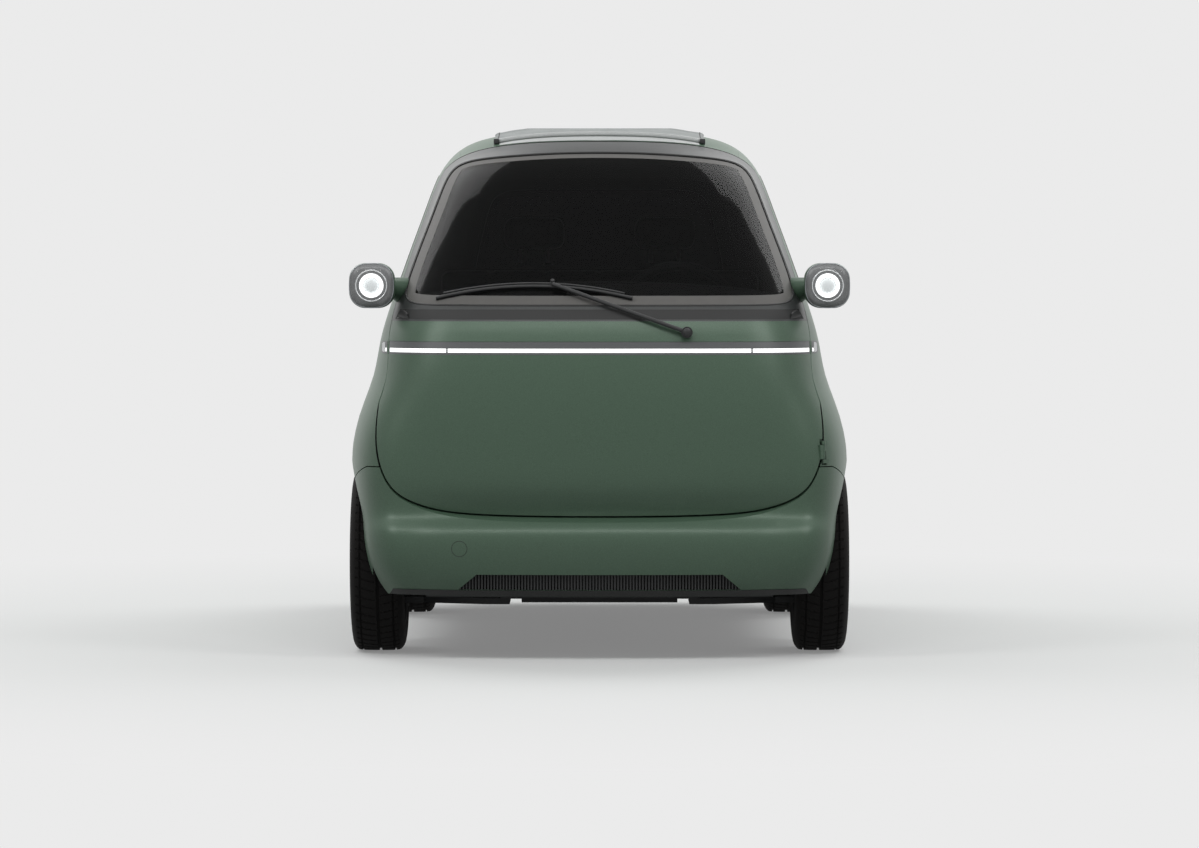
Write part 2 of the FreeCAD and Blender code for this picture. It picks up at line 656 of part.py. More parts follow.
battery_space = block(seat_box_wall - seat_box_half_width, seat_box_half_width - seat_box_wall,
                      seat_box_front_y + seat_box_wall, seat_box_back_y - seat_box_wall, floor_high_z,
                      seat_box_high_z - seat_box_top)
jack_pad_x = 590.0
jack_pad_half_width = 20.0
jack_pad_half_length = 30.0
jack_pad_drop = 6.0
bracket_x = 262.0
arm_root_x = 290.0
arm_low_z = 140.0
arm_high_z = 158.0
arm_root_front_y = -880.0
arm_root_back_y = -700.0
for side in (-1, 1):
    low, high = sorted((side * bracket_x, side * (arm_root_x - seat_clearance)))
    floor_parts.append(block(low, high, arm_root_front_y, arm_root_back_y, arm_low_z, floor_low_z))
    floor_parts.append(block(side * jack_pad_x - jack_pad_half_width, side * jack_pad_x + jack_pad_half_width,
                             -jack_pad_half_length, jack_pad_half_length, floor_low_z - jack_pad_drop, floor_low_z))
floor = floor.fuse(floor_parts + [bulkhead, seat_box.cut(battery_space)])
for space in wells(seat_clearance):
    floor = floor.cut(space)
pieces["floor_pan"] = floor.removeSplitter()
pieces["battery_block"] = block(seat_box_wall * 2 - seat_box_half_width, seat_box_half_width - seat_box_wall * 2,
                                seat_box_front_y + seat_box_wall * 2, seat_box_back_y - seat_box_wall * 2,
                                floor_high_z + seat_clearance, seat_box_high_z - seat_box_top * 2)
luggage_floor = hull_block(-body_length, body_length, floor_back_y - bulkhead_thickness, body_length,
                           luggage_floor_z, luggage_floor_z + luggage_floor_thickness)
for space in wells(seat_clearance):
    luggage_floor = luggage_floor.cut(space)
pieces["luggage_floor"] = luggage_floor

# Wheel housings: a curved skin over each wheel with a flat inner wall, open below and to the outside
housing_low_z = 210.0
strut_window = 70.0


def wheel_housing(radius, y, inner_x, window_high_z):
    shell = well(radius + well_wall, y, inner_x, body_length).cut(well(radius, y, inner_x + well_wall, body_length))
    shell = shell.common(block(0, body_length, -body_length, body_length, housing_low_z, body_length))
    window = block(0, inner_x + 2 * well_wall, y - radius / 2, y + radius / 2, 0, window_high_z)
    return shell.common(cabin_space).cut(window)


front_housing = wheel_housing(front_housing_radius, front_axle_y, front_well_x, axle_z + strut_window)
rear_housing = wheel_housing(rear_housing_radius, rear_axle_y, rear_well_x, axle_z + strut_window)
housings = [front_housing, mirrored(front_housing), rear_housing, mirrored(rear_housing)]
pieces["wheel_housings"] = Part.makeCompound(housings)

# Wheels: tyre and rim turned about the axle. Profiles are listed as (from the wheel's middle plane, radius).
tyre_radius = tyre_diameter / 2
rim_radius = rim_diameter / 2
tread_half_width = 58.0
shoulder_height = 24.0
bead_half_width = 67.0
spindle_radius = 15.0
rim_wall = 6.0
rim_disc_x = 38.0
rim_disc_thickness = 9.0
hub_radius = 42.0
hub_length = 50.0
slot_count = 10
tyre_sides = 48


def turned(profile):
    """Turns a closed profile of (x, radius) about the X axis."""
    return Part.Face(polygon([point(x, radius, 0) for x, radius in profile])).revolve(point(0, 0, 0),
                                                                                      Vector(1, 0, 0), 360)


def many_sided(x, radius):
    """A regular polygon about the X axis."""
    angles = [2 * math.pi * k / tyre_sides for k in range(tyre_sides)]
    return polygon([point(x, radius * math.cos(angle), radius * math.sin(angle)) for angle in angles])


def tyre_shape():
    """The tyre's tread, its shoulders and its side walls, in flat facets all round, closed on the rim."""
    half = [(bead_half_width, rim_radius + rim_wall / 2), (tyre_width / 2, tyre_radius - shoulder_height * 2),
            (tyre_width / 2 - rim_wall / 2, tyre_radius - shoulder_height), (tread_half_width, tyre_radius)]
    sections = [(-x, radius) for x, radius in half] + list(reversed(half))
    outer = Part.makeLoft([many_sided(x, radius) for x, radius in sections], True, True)
    bore_radius = rim_radius / math.cos(math.pi / tyre_sides)
    return outer.cut(prism(many_sided(-tyre_width, bore_radius), point(2 * tyre_width, 0, 0)))


def rim_shape():
    """The rim's barrel, its disc with a ring of slots, and its hub. The outside of the car is at +X."""
    edge = rim_radius - seat_clearance / 10
    well_radius = rim_radius - rim_wall * 2
    half = bead_half_width
    barrel = turned([(half, edge), (half, well_radius), (rim_disc_x, well_radius - rim_wall), (-half, well_radius),
                     (-half, edge), (rim_wall * 2 - half, edge), (rim_wall * 3 - half, well_radius + rim_wall / 2),
                     (half - rim_wall * 3, well_radius + rim_wall / 2), (half - rim_wall * 2, edge)])
    disc = tube(rim_radius - rim_wall * 2.5, spindle_radius + running_clearance, point(rim_disc_x, 0, 0),
                point(rim_disc_x + rim_disc_thickness, 0, 0))
    hub = tube(hub_radius, spindle_radius + running_clearance, point(rim_disc_x - hub_length / 2, 0, 0),
               point(rim_disc_x + hub_length / 2, 0, 0))
    slots = []
    for k in range(slot_count):
        slot = block(rim_disc_x - hub_length, rim_disc_x + hub_length, -hub_radius / 3, hub_radius / 3,
                     hub_radius * 1.5, rim_radius - rim_wall * 5)
        slots.append(slot.rotate(point(0, 0, 0), Vector(1, 0, 0), 360 * k / slot_count))
    return barrel.fuse([disc.cut(slots), hub])


tyre = tyre_shape()
rim = rim_shape()
wheel_places = {"front_left": (front_track / 2, front_axle_y), "front_right": (-front_track / 2, front_axle_y),
                "rear_left": (rear_track / 2, rear_axle_y), "rear_right": (-rear_track / 2, rear_axle_y)}
for place, (x, y) in wheel_places.items():
    for name, shape in (("tyre", tyre), ("rim", rim)):
        turned_shape = shape if x > 0 else mirrored(shape)
        pieces[name + "_" + place] = turned_shape.translated(point(x, y, axle_z))

# Front suspension: the steering axis runs from the lower ball joint up through the strut
ball_x = 575.0
ball_z = 165.0
strut_top_x = 500.0
strut_top_z = 600.0
pin_radius = 8.0
strut_rod_radius = 11.0
strut_tube_radius = 25.0
strut_plate_radius = 46.0
knuckle_low_z = 168.0
knuckle_eye_z = 196.0
knuckle_top_low_z = 340.0
knuckle_top_high_z = 372.0
eye_radius = 20.0
steer_low = point(ball_x, front_axle_y, ball_z)
steer_axis = (point(strut_top_x, front_axle_y, strut_top_z) - steer_low).normalize()


def steer_point(z):
    return steer_low + steer_axis * ((z - ball_z) / steer_axis.z)


def front_arm():
    outline = [(arm_root_x, arm_root_front_y), (arm_root_x + eye_radius * 2, arm_root_front_y),
               (ball_x - eye_radius * 3, front_axle_y - eye_radius), (ball_x, front_axle_y - eye_radius),
               (ball_x, front_axle_y + eye_radius), (ball_x - eye_radius * 3, front_axle_y + eye_radius),
               (arm_root_x + eye_radius * 2, arm_root_back_y), (arm_root_x, arm_root_back_y)]
    plate = prism(polygon([point(x, y, arm_low_z) for x, y in outline]), point(0, 0, arm_high_z - arm_low_z))
    eye = rod(eye_radius, point(ball_x, front_axle_y, arm_low_z), point(ball_x, front_axle_y, arm_high_z))
    return plate.fuse([eye, rod(pin_radius, steer_point(arm_low_z + pin_radius), steer_point(knuckle_eye_z))])


arm = front_arm()
pieces["front_arms"] = Part.makeCompound([arm, mirrored(arm)])

strut = rod(strut_rod_radius, steer_point(knuckle_top_low_z - strut_rod_radius), steer_point(strut_top_z))
strut = strut.fuse([rod(strut_tube_radius, steer_point(knuckle_top_high_z + strut_tube_radius),
                        steer_point(strut_top_z)),
                    rod(strut_plate_radius, steer_point(axle_z + front_housing_radius - strut_plate_radius / 2),
                        steer_point(strut_top_z + strut_plate_radius))])
strut = strut.common(well(front_housing_radius - seat_clearance, front_axle_y, 0, body_length))
pieces["front_struts"] = Part.makeCompound([strut, mirrored(strut)])

spindle_end_x = front_track / 2 + rim_disc_x + hub_length / 2
upright_half_width = 17.0
upright_outer_x = 596.0
shield_radius = 98.0


def knuckle_shape():
    """The front upright with its eyes on the steering axis, the wheel spindle and the brake's round shield."""
    low_eye = rod(eye_radius, steer_point(knuckle_low_z), steer_point(knuckle_eye_z + pin_radius))
    high_eye = rod(eye_radius, steer_point(knuckle_top_low_z), steer_point(knuckle_top_high_z))
    web = block(steer_point(knuckle_top_high_z).x, upright_outer_x, front_axle_y - upright_half_width,
                front_axle_y + upright_half_width, knuckle_low_z + pin_radius, knuckle_top_high_z - pin_radius)
    hub = rod(hub_radius, point(steer_point(axle_z).x, front_axle_y, axle_z), point(upright_outer_x, front_axle_y,
                                                                                     axle_z))
    shield = rod(shield_radius, point(upright_outer_x - rim_wall, front_axle_y, axle_z),
                 point(upright_outer_x, front_axle_y, axle_z))
    spindle = rod(spindle_radius, point(upright_outer_x - rim_wall, front_axle_y, axle_z),
                  point(spindle_end_x, front_axle_y, axle_z))
    shape = low_eye.fuse([high_eye, web, hub, shield, spindle])
    shape = shape.cut(rod(pin_radius + running_clearance, steer_point(0), steer_point(knuckle_eye_z + running_clearance)))
    return shape.cut(rod(strut_rod_radius + running_clearance,
                         steer_point(knuckle_top_low_z - strut_rod_radius - running_clearance), steer_point(body_length)))


knuckle = knuckle_shape()
pieces["knuckle_left"] = knuckle
pieces["knuckle_right"] = mirrored(knuckle)

rack_y = -690.0
rack_z = 150.0
rack_radius = 18.0
rack_half_length = 230.0
tie_rod_radius = 7.0
tie_rod_end_x = 440.0
rack = rod(rack_radius, point(-rack_half_length, rack_y, rack_z), point(rack_half_length, rack_y, rack_z))
rack = rack.fuse([rod(tie_rod_radius, point(-tie_rod_end_x, rack_y, rack_z), point(tie_rod_end_x, rack_y, rack_z)),
                  block(-rack_radius, rack_radius, rack_y - rack_radius, rack_y + rack_radius, rack_z,
                        floor_low_z - seat_clearance)])
pieces["steering_rack"] = rack

# Rear axle, drive unit and its shafts
beam_y = 560.0
beam_z = 230.0
beam_radius = 28.0
trailing_inner_x = 452.0
trailing_outer_x = 498.0
trailing_half_height = 24.0
bracket_half_length = 24.0
damper_radius = 20.0
damper_y = 690.0


def rear_side():
    """One trailing arm with its spindle, damper and the bracket that hangs it from the rail."""
    arm_block = block(trailing_inner_x, trailing_outer_x, beam_y, rear_axle_y + trailing_half_height,
                      axle_z - trailing_half_height, axle_z + trailing_half_height)
    hub = rod(hub_radius, point(trailing_inner_x + rim_wall, rear_axle_y, axle_z), point(rear_track / 2 -
              bead_half_width / 2, rear_axle_y, axle_z))
    spindle = rod(spindle_radius, point(trailing_outer_x, rear_axle_y, axle_z),
                  point(rear_track / 2 + rim_disc_x + hub_length / 2, rear_axle_y, axle_z))
    damper = rod(damper_radius, point(trailing_inner_x + damper_radius, damper_y, axle_z),
                 point(trailing_inner_x + damper_radius, damper_y, luggage_floor_z - seat_clearance))
    hanger = block(rail_inner_x, rail_outer_x, beam_y - bracket_half_length, beam_y + bracket_half_length, beam_z,
                   rail_low_z - seat_clearance)
    return [arm_block, hub, spindle, damper, hanger]


beam = rod(beam_radius, point(-trailing_outer_x, beam_y, beam_z), point(trailing_outer_x, beam_y, beam_z))
right_half = [mirrored(shape) for shape in rear_side()]
pieces["rear_axle"] = beam.fuse(rear_side() + right_half)

drive_half_width = 190.0
drive_front_y = 640.0
drive_back_y = 900.0
drive_low_z = 190.0
drive_high_z = 420.0
drive_corner = 30.0
shaft_radius = 12.0
hanger_front_y = 740.0
hanger_back_y = 800.0
drive = rounded(block(-drive_half_width, drive_half_width, drive_front_y, drive_back_y, drive_low_z, drive_high_z),
                drive_corner, Vector(1, 0, 0))
drive = drive.fuse([
    block(-rail_outer_x, rail_outer_x, hanger_front_y, hanger_back_y, drive_high_z - drive_corner / 2,
          rail_low_z - seat_clearance),
    rod(shaft_radius, point(seat_clearance - trailing_inner_x, rear_axle_y, axle_z),
        point(trailing_inner_x - seat_clearance, rear_axle_y, axle_z))])
pieces["drive_unit"] = drive

# Bench seat and head restraints
seat_half_width = 520.0
cushion_front_y = -215.0
cushion_back_y = 330.0
cushion_high_z = 590.0
cushion_corner = 32.0
back_top_z = 1130.0
back_thickness = 115.0
back_lean = 72.0
restraint_x = 208.0
restraint_half_width = 107.0
restraint_low_z = 1170.0
restraint_high_z = 1292.0
restraint_front_y = 420.0
restraint_thickness = 90.0
post_spacing = 89.0
post_radius = 6.0
cushion = block(-seat_half_width, seat_half_width, cushion_front_y, cushion_back_y, seat_box_high_z +
                seat_clearance, cushion_high_z)
pieces["seat_cushion"] = cushion.makeFillet(cushion_corner, cushion.Edges)
back_low_z = seat_box_high_z + seat_clearance
back_front_y = cushion_back_y + seat_clearance
back_outline = [(back_front_y, back_low_z), (back_front_y + back_thickness, back_low_z),
                (back_front_y + back_thickness + back_lean, back_top_z), (back_front_y + back_lean, back_top_z)]
back = prism(polygon([point(-seat_half_width, y, z) for y, z in back_outline]), point(2 * seat_half_width, 0, 0))
pieces["seat_back"] = back.makeFillet(cushion_corner, back.Edges)


def head_restraint(x):
    pad = block(x - restraint_half_width, x + restraint_half_width, restraint_front_y,
                restraint_front_y + restraint_thickness, restraint_low_z, restraint_high_z)
    pad = pad.makeFillet(cushion_corner, pad.Edges)
    y = restraint_front_y + restraint_thickness / 2
    posts = [rod(post_radius, point(x + side * post_spacing / 2, y, back_top_z + seat_clearance),
                 point(x + side * post_spacing / 2, y, restraint_low_z + cushion_corner)) for side in (-1, 1)]
    return pad.fuse(posts)


pieces["head_restraints"] = Part.makeCompound([head_restraint(-restraint_x), head_restraint(restraint_x)])

# Steering column, held from the left side wall, and the steering wheel
wheel_x = 235.0
wheel_y = -470.0
wheel_z = 975.0
wheel_tilt = math.radians(28.0)
wheel_ring_radius = 172.0
wheel_grip_radius = 14.0
wheel_hub_radius = 48.0
wheel_hub_thickness = 40.0
shaft_socket = 60.0
column_radius = 34.0
column_length = 330.0
column_gap = 6.0
column_arm_radius = 24.0
display_half_width = 95.0
display_height = 100.0
display_thickness = 22.0
steering_shaft_radius = 12.0
column_axis = Vector(0, math.cos(wheel_tilt), math.sin(wheel_tilt))
wheel_centre = point(wheel_x, wheel_y, wheel_z)
hub_back = wheel_centre - column_axis * wheel_hub_thickness
column_head = hub_back - column_axis * column_gap
column_foot = column_head - column_axis * column_length
column = rod(column_radius, column_foot, column_head)
arm_start = column_head - column_axis * (column_length * 0.7)
column_arm = rod(column_arm_radius, arm_start, arm_start + Vector(body_length / 2, 0, 0))
display = block(wheel_x - display_half_width, wheel_x + display_half_width, arm_start.y - display_thickness,
                arm_start.y, arm_start.z, arm_start.z + column_radius + display_height)
column = column.fuse([column_arm, display]).common(cabin_space)
column = column.cut(rod(steering_shaft_radius + running_clearance, column_head - column_axis * shaft_socket,
                        column_head + column_axis * shaft_socket))
pieces["steering_column"] = column

ring = Part.makeTorus(wheel_ring_radius, wheel_grip_radius, wheel_centre, column_axis)
hub = rod(wheel_hub_radius, hub_back, wheel_centre)
spokes = []
across = Vector(1, 0, 0)
spoke_radius = wheel_grip_radius * 0.8
down = across.cross(column_axis)
for direction in (across, across * -1, down * (1 if down.z < 0 else -1)):
    start = wheel_centre - column_axis * (wheel_hub_thickness / 2)
    spokes.append(rod(spoke_radius, start, wheel_centre + direction * wheel_ring_radius))
steering_shaft = rod(steering_shaft_radius, column_head - column_axis * (shaft_socket - running_clearance), hub_back)
pieces["steering_wheel"] = ring.fuse([hub, steering_shaft] + spokes)

# Lamp and mirror pods on short stalks at the feet of the windscreen pillars
pod_x = 658.0
pod_z = 1069.0
pod_front_y = -1005.0
pod_half_width = 65.0
pod_depth = 118.0
pod_corner = 47.0
pod_front_round = 20.0
pod_back_round = 34.0
stalk_root_x = 548.0
stalk_root_y = -862.0
stalk_root_z = 1046.0
stalk_root_radius = 48.0
stalk_end_radius = 24.0
stalk_sink = 20.0


def lamp_pod():
    back_y = pod_front_y + pod_depth
    housing = block(pod_x - pod_half_width, pod_x + pod_half_width, pod_front_y, back_y, pod_z - pod_half_width,
                    pod_z + pod_half_width)
    housing = rounded(housing, pod_corner, Vector(0, 1, 0))
    for y, radius in ((back_y, pod_back_round), (pod_front_y, pod_front_round)):
        rim = [edge for edge in housing.Edges if all(abs(vertex.Y - y) < seat_clearance for vertex in edge.Vertexes)]
        housing = housing.makeFillet(radius, rim)
    start = point(stalk_root_x, stalk_root_y, stalk_root_z)
    end = point(pod_x - pod_half_width + stalk_sink, back_y - pod_back_round - stalk_sink, pod_z)
    stalk = Part.makeCone(stalk_root_radius, stalk_end_radius, (end - start).Length, start, end - start)
    return housing.fuse(stalk).cut(outside)


pod = lamp_pod()
pieces["lamp_pod_left"] = pod
pieces["lamp_pod_right"] = mirrored(pod)

# Dashboard shelf and wiper, both on the front door
dash_half_width = 540.0
dash_back_y = -935.0
dash_low_z = 985.0
dash_high_z = 1040.0
dash_front_high_z = 1050.0
dash_lip = 20.0
dash_side = [point(-dash_half_width, -body_length, dash_low_z), point(-dash_half_width, dash_back_y, dash_low_z + dash_lip),
             point(-dash_half_width, dash_back_y, dash_high_z), point(-dash_half_width, -body_length,
                                                                        dash_front_high_z)]
pieces["dashboard"] = prism(polygon(dash_side), point(2 * dash_half_width, 0, 0)).common(cabin_space)


def on_skin(x, z, rise):
    """A point in front of the skin, seen at (x, z) in the front view, standing rise off it."""
    ray = Part.makeLine(point(x, -body_length, z), point(x, widest_y, z)).common(outside)
    y = min(vertex.Y for vertex in ray.Vertexes)
    return point(x, y - rise, z)


def skin_rod(radius, stations, rise):
    """A round bar in short straight runs that follows the skin through places given in the front view."""
    places = [on_skin(x, z, rise) for x, z in stations]
    path = Part.makePolygon(places)
    section = Part.Wire(Part.makeCircle(radius, places[0], places[1] - places[0]))
    return path.makePipeShell([section], True, False, 1)


wiper_pivot = (249.0, 937.0)
wiper_elbow = (-134.0, 1074.0)
blade_centre = (-187.0, 1068.0)
blade_half_length = 281.0
blade_drop = 34.0
blade_rise = 5.8
blade_radius = 5.0
wiper_rise = 17.0
wiper_radius = 6.0
pivot_radius = 16.0
steps = 6
arm_places = [tuple(a + (b - a) * k / steps for a, b in zip(wiper_pivot, wiper_elbow)) for k in range(steps + 1)]
blade_places = []
for k in range(-steps, steps + 1):
    share = k / steps
    blade_places.append((blade_centre[0] + blade_half_length * share, blade_centre[1] - blade_drop * share ** 2))
cap = rod(pivot_radius, on_skin(*wiper_pivot, -wall_thickness / 2), on_skin(*wiper_pivot, wiper_rise + wiper_radius))
elbow = rod(wiper_radius, on_skin(*wiper_elbow, wiper_rise), on_skin(*wiper_elbow, blade_rise))
pieces["wiper"] = cap.cut(outside).fuse([skin_rod(wiper_radius, arm_places, wiper_rise), elbow,
                                         skin_rod(blade_radius, blade_places, blade_rise)])

# Holes for a number plate at the back, and blocks on the sills for the bolts of the seat belts
plate_hole_radius = 3.0
plate_hole_spacing = 240.0
plate_hole_z = 400.0
anchor_radius = 5.6
anchor_depth = 25.0
anchor_half_width = 22.0
anchor_half_length = 30.0
anchor_x = 600.0
anchor_y = 300.0
for side in (-1, 1):
    x = side * plate_hole_spacing / 2
    plate_hole = rod(plate_hole_radius, point(x, rear_axle_y, plate_hole_z), point(x, body_length, plate_hole_z))
    pieces["rear_bumper"] = pieces["rear_bumper"].cut(plate_hole)
anchor = block(anchor_x - anchor_half_width, anchor_x + anchor_half_width, anchor_y - anchor_half_length,
               anchor_y + anchor_half_length, sill_high_z, sill_high_z + anchor_depth)
anchor = anchor.cut(rod(anchor_radius, point(anchor_x, anchor_y, sill_high_z),
                        point(anchor_x, anchor_y, sill_high_z + anchor_depth)))
pieces["belt_anchors"] = Part.makeCompound([anchor, mirrored(anchor)])

for name, shape in pieces.items():
    shape.exportStep("parts/" + name + ".step")
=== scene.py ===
import bpy
import bmesh
import math
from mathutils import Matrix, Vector
from mathutils.bvhtree import BVHTree


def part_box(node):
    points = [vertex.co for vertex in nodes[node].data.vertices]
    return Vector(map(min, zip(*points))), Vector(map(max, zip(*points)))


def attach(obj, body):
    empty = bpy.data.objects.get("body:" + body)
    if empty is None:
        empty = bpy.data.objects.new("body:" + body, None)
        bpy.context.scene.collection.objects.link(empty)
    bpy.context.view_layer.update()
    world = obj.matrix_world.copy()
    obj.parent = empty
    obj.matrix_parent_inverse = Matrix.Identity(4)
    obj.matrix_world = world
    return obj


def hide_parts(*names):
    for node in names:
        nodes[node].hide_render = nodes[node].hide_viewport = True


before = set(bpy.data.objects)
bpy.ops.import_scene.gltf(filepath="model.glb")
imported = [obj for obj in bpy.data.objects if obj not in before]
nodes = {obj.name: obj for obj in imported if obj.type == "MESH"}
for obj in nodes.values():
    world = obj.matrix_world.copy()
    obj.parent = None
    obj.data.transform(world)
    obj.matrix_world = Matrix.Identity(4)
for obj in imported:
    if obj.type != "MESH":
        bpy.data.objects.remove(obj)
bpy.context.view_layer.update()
scene = bpy.context.scene
mm = 0.001
both_sides = ((1, "left"), (-1, "right"))

# Camera at the photograph's angle: level with the windscreen, 14 m in front of the front axle, a little downward
camera_distance = 14.0
front_axle_y = -0.790
camera_height = 1.1127
camera_pitch = math.radians(1.84)
lens_mm = 143.5
camera_data = bpy.data.cameras.new("camera")
camera_data.lens = lens_mm
camera_data.sensor_width = 36.0
camera = bpy.data.objects.new("camera", camera_data)
camera.location = (0, front_axle_y - camera_distance, camera_height)
camera.rotation_euler = (math.radians(90) - camera_pitch, 0, 0)
scene.collection.objects.link(camera)
scene.camera = camera
scene.view_settings.view_transform = "Standard"


def colour(code):
    """Linear colour from an sRGB hex code."""
    values = [int(code[i:i + 2], 16) / 255 for i in (1, 3, 5)]
    linear = [v / 12.92 if v <= 0.04045 else ((v + 0.055) / 1.055) ** 2.4 for v in values]
    return (*linear, 1.0)


def add_node(tree, kind, settings=None, links=None):
    """Adds a node, sets its properties and sockets and links sockets from (node, output name). Sockets go by name,
    or by number where two share a name."""
    node = tree.nodes.new("ShaderNode" + kind)
    for key, value in (settings or {}).items():
        if isinstance(key, int) or key in node.inputs:
            node.inputs[key].default_value = value
        else:
            setattr(node, key, value)
    for key, (source, output) in (links or {}).items():
        tree.links.new(source.outputs[output], node.inputs[key])
    return node


def new_material(name, base, roughness, metallic=0.0, **settings):
    """Makes a material. Returns it with its node tree, its shader and its texture coordinates."""
    material = bpy.data.materials.new(name)
    material.use_nodes = True
    tree = material.node_tree
    shader = tree.nodes["Principled BSDF"]
    shader.inputs["Base Color"].default_value = colour(base)
    shader.inputs["Roughness"].default_value = roughness
    shader.inputs["Metallic"].default_value = metallic
    for key, value in settings.items():
        shader.inputs[key.replace("_", " ").title().replace("Ior", "IOR")].default_value = value
    place = add_node(tree, "TexCoord")
    return material, tree, shader, place


# A pattern's scale in Blender is its repeats in a metre, so a size in millimetres goes under this
per_metre = 1000


def mottle(tree, shader, place, scale_mm, base, darker, low, high, roughness=None):
    """Slow change of colour, and of roughness where it is given as (low, high), in patches of scale_mm."""
    noise = add_node(tree, "TexNoise", {"Scale": per_metre / scale_mm, "Detail": 4.0},
                     {"Vector": (place, "Object")})
    ramp = add_node(tree, "ValToRGB", None, {"Fac": (noise, "Fac")})
    ramp.color_ramp.elements[0].position = low
    ramp.color_ramp.elements[0].color = colour(darker)
    ramp.color_ramp.elements[1].position = high
    ramp.color_ramp.elements[1].color = colour(base)
    tree.links.new(ramp.outputs["Color"], shader.inputs["Base Color"])
    if roughness:
        spread = add_node(tree, "MapRange", {"To Min": roughness[0], "To Max": roughness[1]},
                          {"Value": (noise, "Fac")})
        tree.links.new(spread.outputs["Result"], shader.inputs["Roughness"])
    return noise


# A panel's side that faces the middle of the cabin is its dark trim sheet
cabin_middle = (0.0, 0.0, 0.75)
trim_colour = "#141516"
trim_roughness = 0.75


def cabin_side(tree, place):
    """1 on a face that looks towards the middle of the cabin, else 0."""
    away = add_node(tree, "VectorMath", {"operation": "SUBTRACT", 1: cabin_middle}, {0: (place, "Object")})
    facing = add_node(tree, "VectorMath", {"operation": "DOT_PRODUCT"}, {0: (place, "Normal"), 1: (away, "Vector")})
    return add_node(tree, "Math", {"operation": "LESS_THAN", 1: 0.0}, {0: (facing, "Value")})


def line_cabin_side(tree, shader, place, trim):
    """Gives the faces towards the cabin the colour of their trim. Returns the node that tells them apart."""
    inner = cabin_side(tree, place)
    ramp = shader.inputs["Base Color"].links[0].from_node
    mix = add_node(tree, "MixRGB", {"Color2": colour(trim)},
                   {"Fac": (inner, "Value"), "Color1": (ramp, "Color")})
    tree.links.new(mix.outputs["Color"], shader.inputs["Base Color"])
    return inner


# Satin car paint: few fine flakes under a thin clear coat give soft, wide highlights and no mirror image. The
# flakes are drawn at 1.2 mm, many times their real size, so that they show.
paint_roughness = 0.40
paint_metallic = 0.12
flake_mm = 1.2
flake_patch_mm = 2.0
flake_depth = 0.05 * mm


def satin_metallic_paint(name, base, darker, lined=True):
    material, tree, shader, place = new_material(name, base, paint_roughness, paint_metallic, coat_weight=0.15,
                                                 coat_roughness=0.3, specular_ior_level=0.35)
    mottle(tree, shader, place, flake_patch_mm, base, darker, 0.35, 0.65)
    if lined:
        inner = line_cabin_side(tree, shader, place, trim_colour)
        metal = add_node(tree, "MapRange", {"To Min": paint_metallic, "To Max": 0.0}, {"Value": (inner, "Value")})
        tree.links.new(metal.outputs["Result"], shader.inputs["Metallic"])
        dull = add_node(tree, "MapRange", {"To Min": paint_roughness, "To Max": trim_roughness},
                        {"Value": (inner, "Value")})
        tree.links.new(dull.outputs["Result"], shader.inputs["Roughness"])
    flakes = add_node(tree, "TexVoronoi", {"Scale": per_metre / flake_mm}, {"Vector": (place, "Object")})
    relief = add_node(tree, "Bump", {"Strength": 0.06, "Distance": flake_depth}, {"Height": (flakes, "Distance")})
    tree.links.new(relief.outputs["Normal"], shader.inputs["Normal"])
    return material


# Moulded, extruded or cast finishes: one colour with a grain of grain_mm that breaks up the highlight
grain_depth = 0.3 * mm


def grained_finish(name, base, darker, roughness, grain_mm, strength, metallic=0.0, **settings):
    material, tree, shader, place = new_material(name, base, roughness, metallic, **settings)
    grain = mottle(tree, shader, place, grain_mm, base, darker, 0.3, 0.7, (roughness - 0.05, roughness + 0.07))
    relief = add_node(tree, "Bump", {"Strength": strength, "Distance": grain_depth}, {"Height": (grain, "Fac")})
    tree.links.new(relief.outputs["Normal"], shader.inputs["Normal"])
    return material


# Safety glass: smooth and partly see-through, with no glare on its cabin side. Its gloss changes a little over
# wide patches, which keeps its reflections calm.
glass_patch_mm = 400.0


def tinted_glass(name, base, alpha, gloss=0.3):
    material, tree, shader, place = new_material(name, base, 0.03, specular_ior_level=gloss)
    inner = cabin_side(tree, place)
    shader.inputs["Alpha"].default_value = alpha
    noise = add_node(tree, "TexNoise", {"Scale": per_metre / glass_patch_mm}, {"Vector": (place, "Object")})
    spread = add_node(tree, "MapRange", {"To Min": 0.02, "To Max": 0.05}, {"Value": (noise, "Fac")})
    haze = add_node(tree, "Math", {"operation": "MAXIMUM"}, {0: (spread, "Result"), 1: (inner, "Value")})
    tree.links.new(haze.outputs["Value"], shader.inputs["Roughness"])
    return material


# Woven cloth: crossed ribs of rib_mm, far wider than real threads so that they show, and a soft sheen where the
# cloth turns away. Blender's wave turns through 20 radians in a unit.
wave_radians = 20
cloth_patch_mm = 40.0
cloth_depth = 0.6 * mm


def woven_cloth(name, base, darker, rib_mm, lining=None):
    material, tree, shader, place = new_material(name, base, 0.9, sheen_weight=0.25, sheen_roughness=0.5)
    scale = 2 * math.pi * per_metre / rib_mm / wave_radians
    along = add_node(tree, "TexWave", {"Scale": scale, "bands_direction": "X"}, {"Vector": (place, "Object")})
    across = add_node(tree, "TexWave", {"Scale": scale, "bands_direction": "Z"}, {"Vector": (place, "Object")})
    weave = add_node(tree, "Math", {"operation": "MAXIMUM"}, {0: (along, "Fac"), 1: (across, "Fac")})
    mottle(tree, shader, place, cloth_patch_mm, base, darker, 0.3, 0.7)
    if lining:
        line_cabin_side(tree, shader, place, lining)
    relief = add_node(tree, "Bump", {"Strength": 0.5, "Distance": cloth_depth}, {"Height": (weave, "Value")})
    tree.links.new(relief.outputs["Normal"], shader.inputs["Normal"])
    return material


# Lamp lenses that glow by themselves: a diffuse plastic with no sharp reflection
lens_patch_mm = 30.0


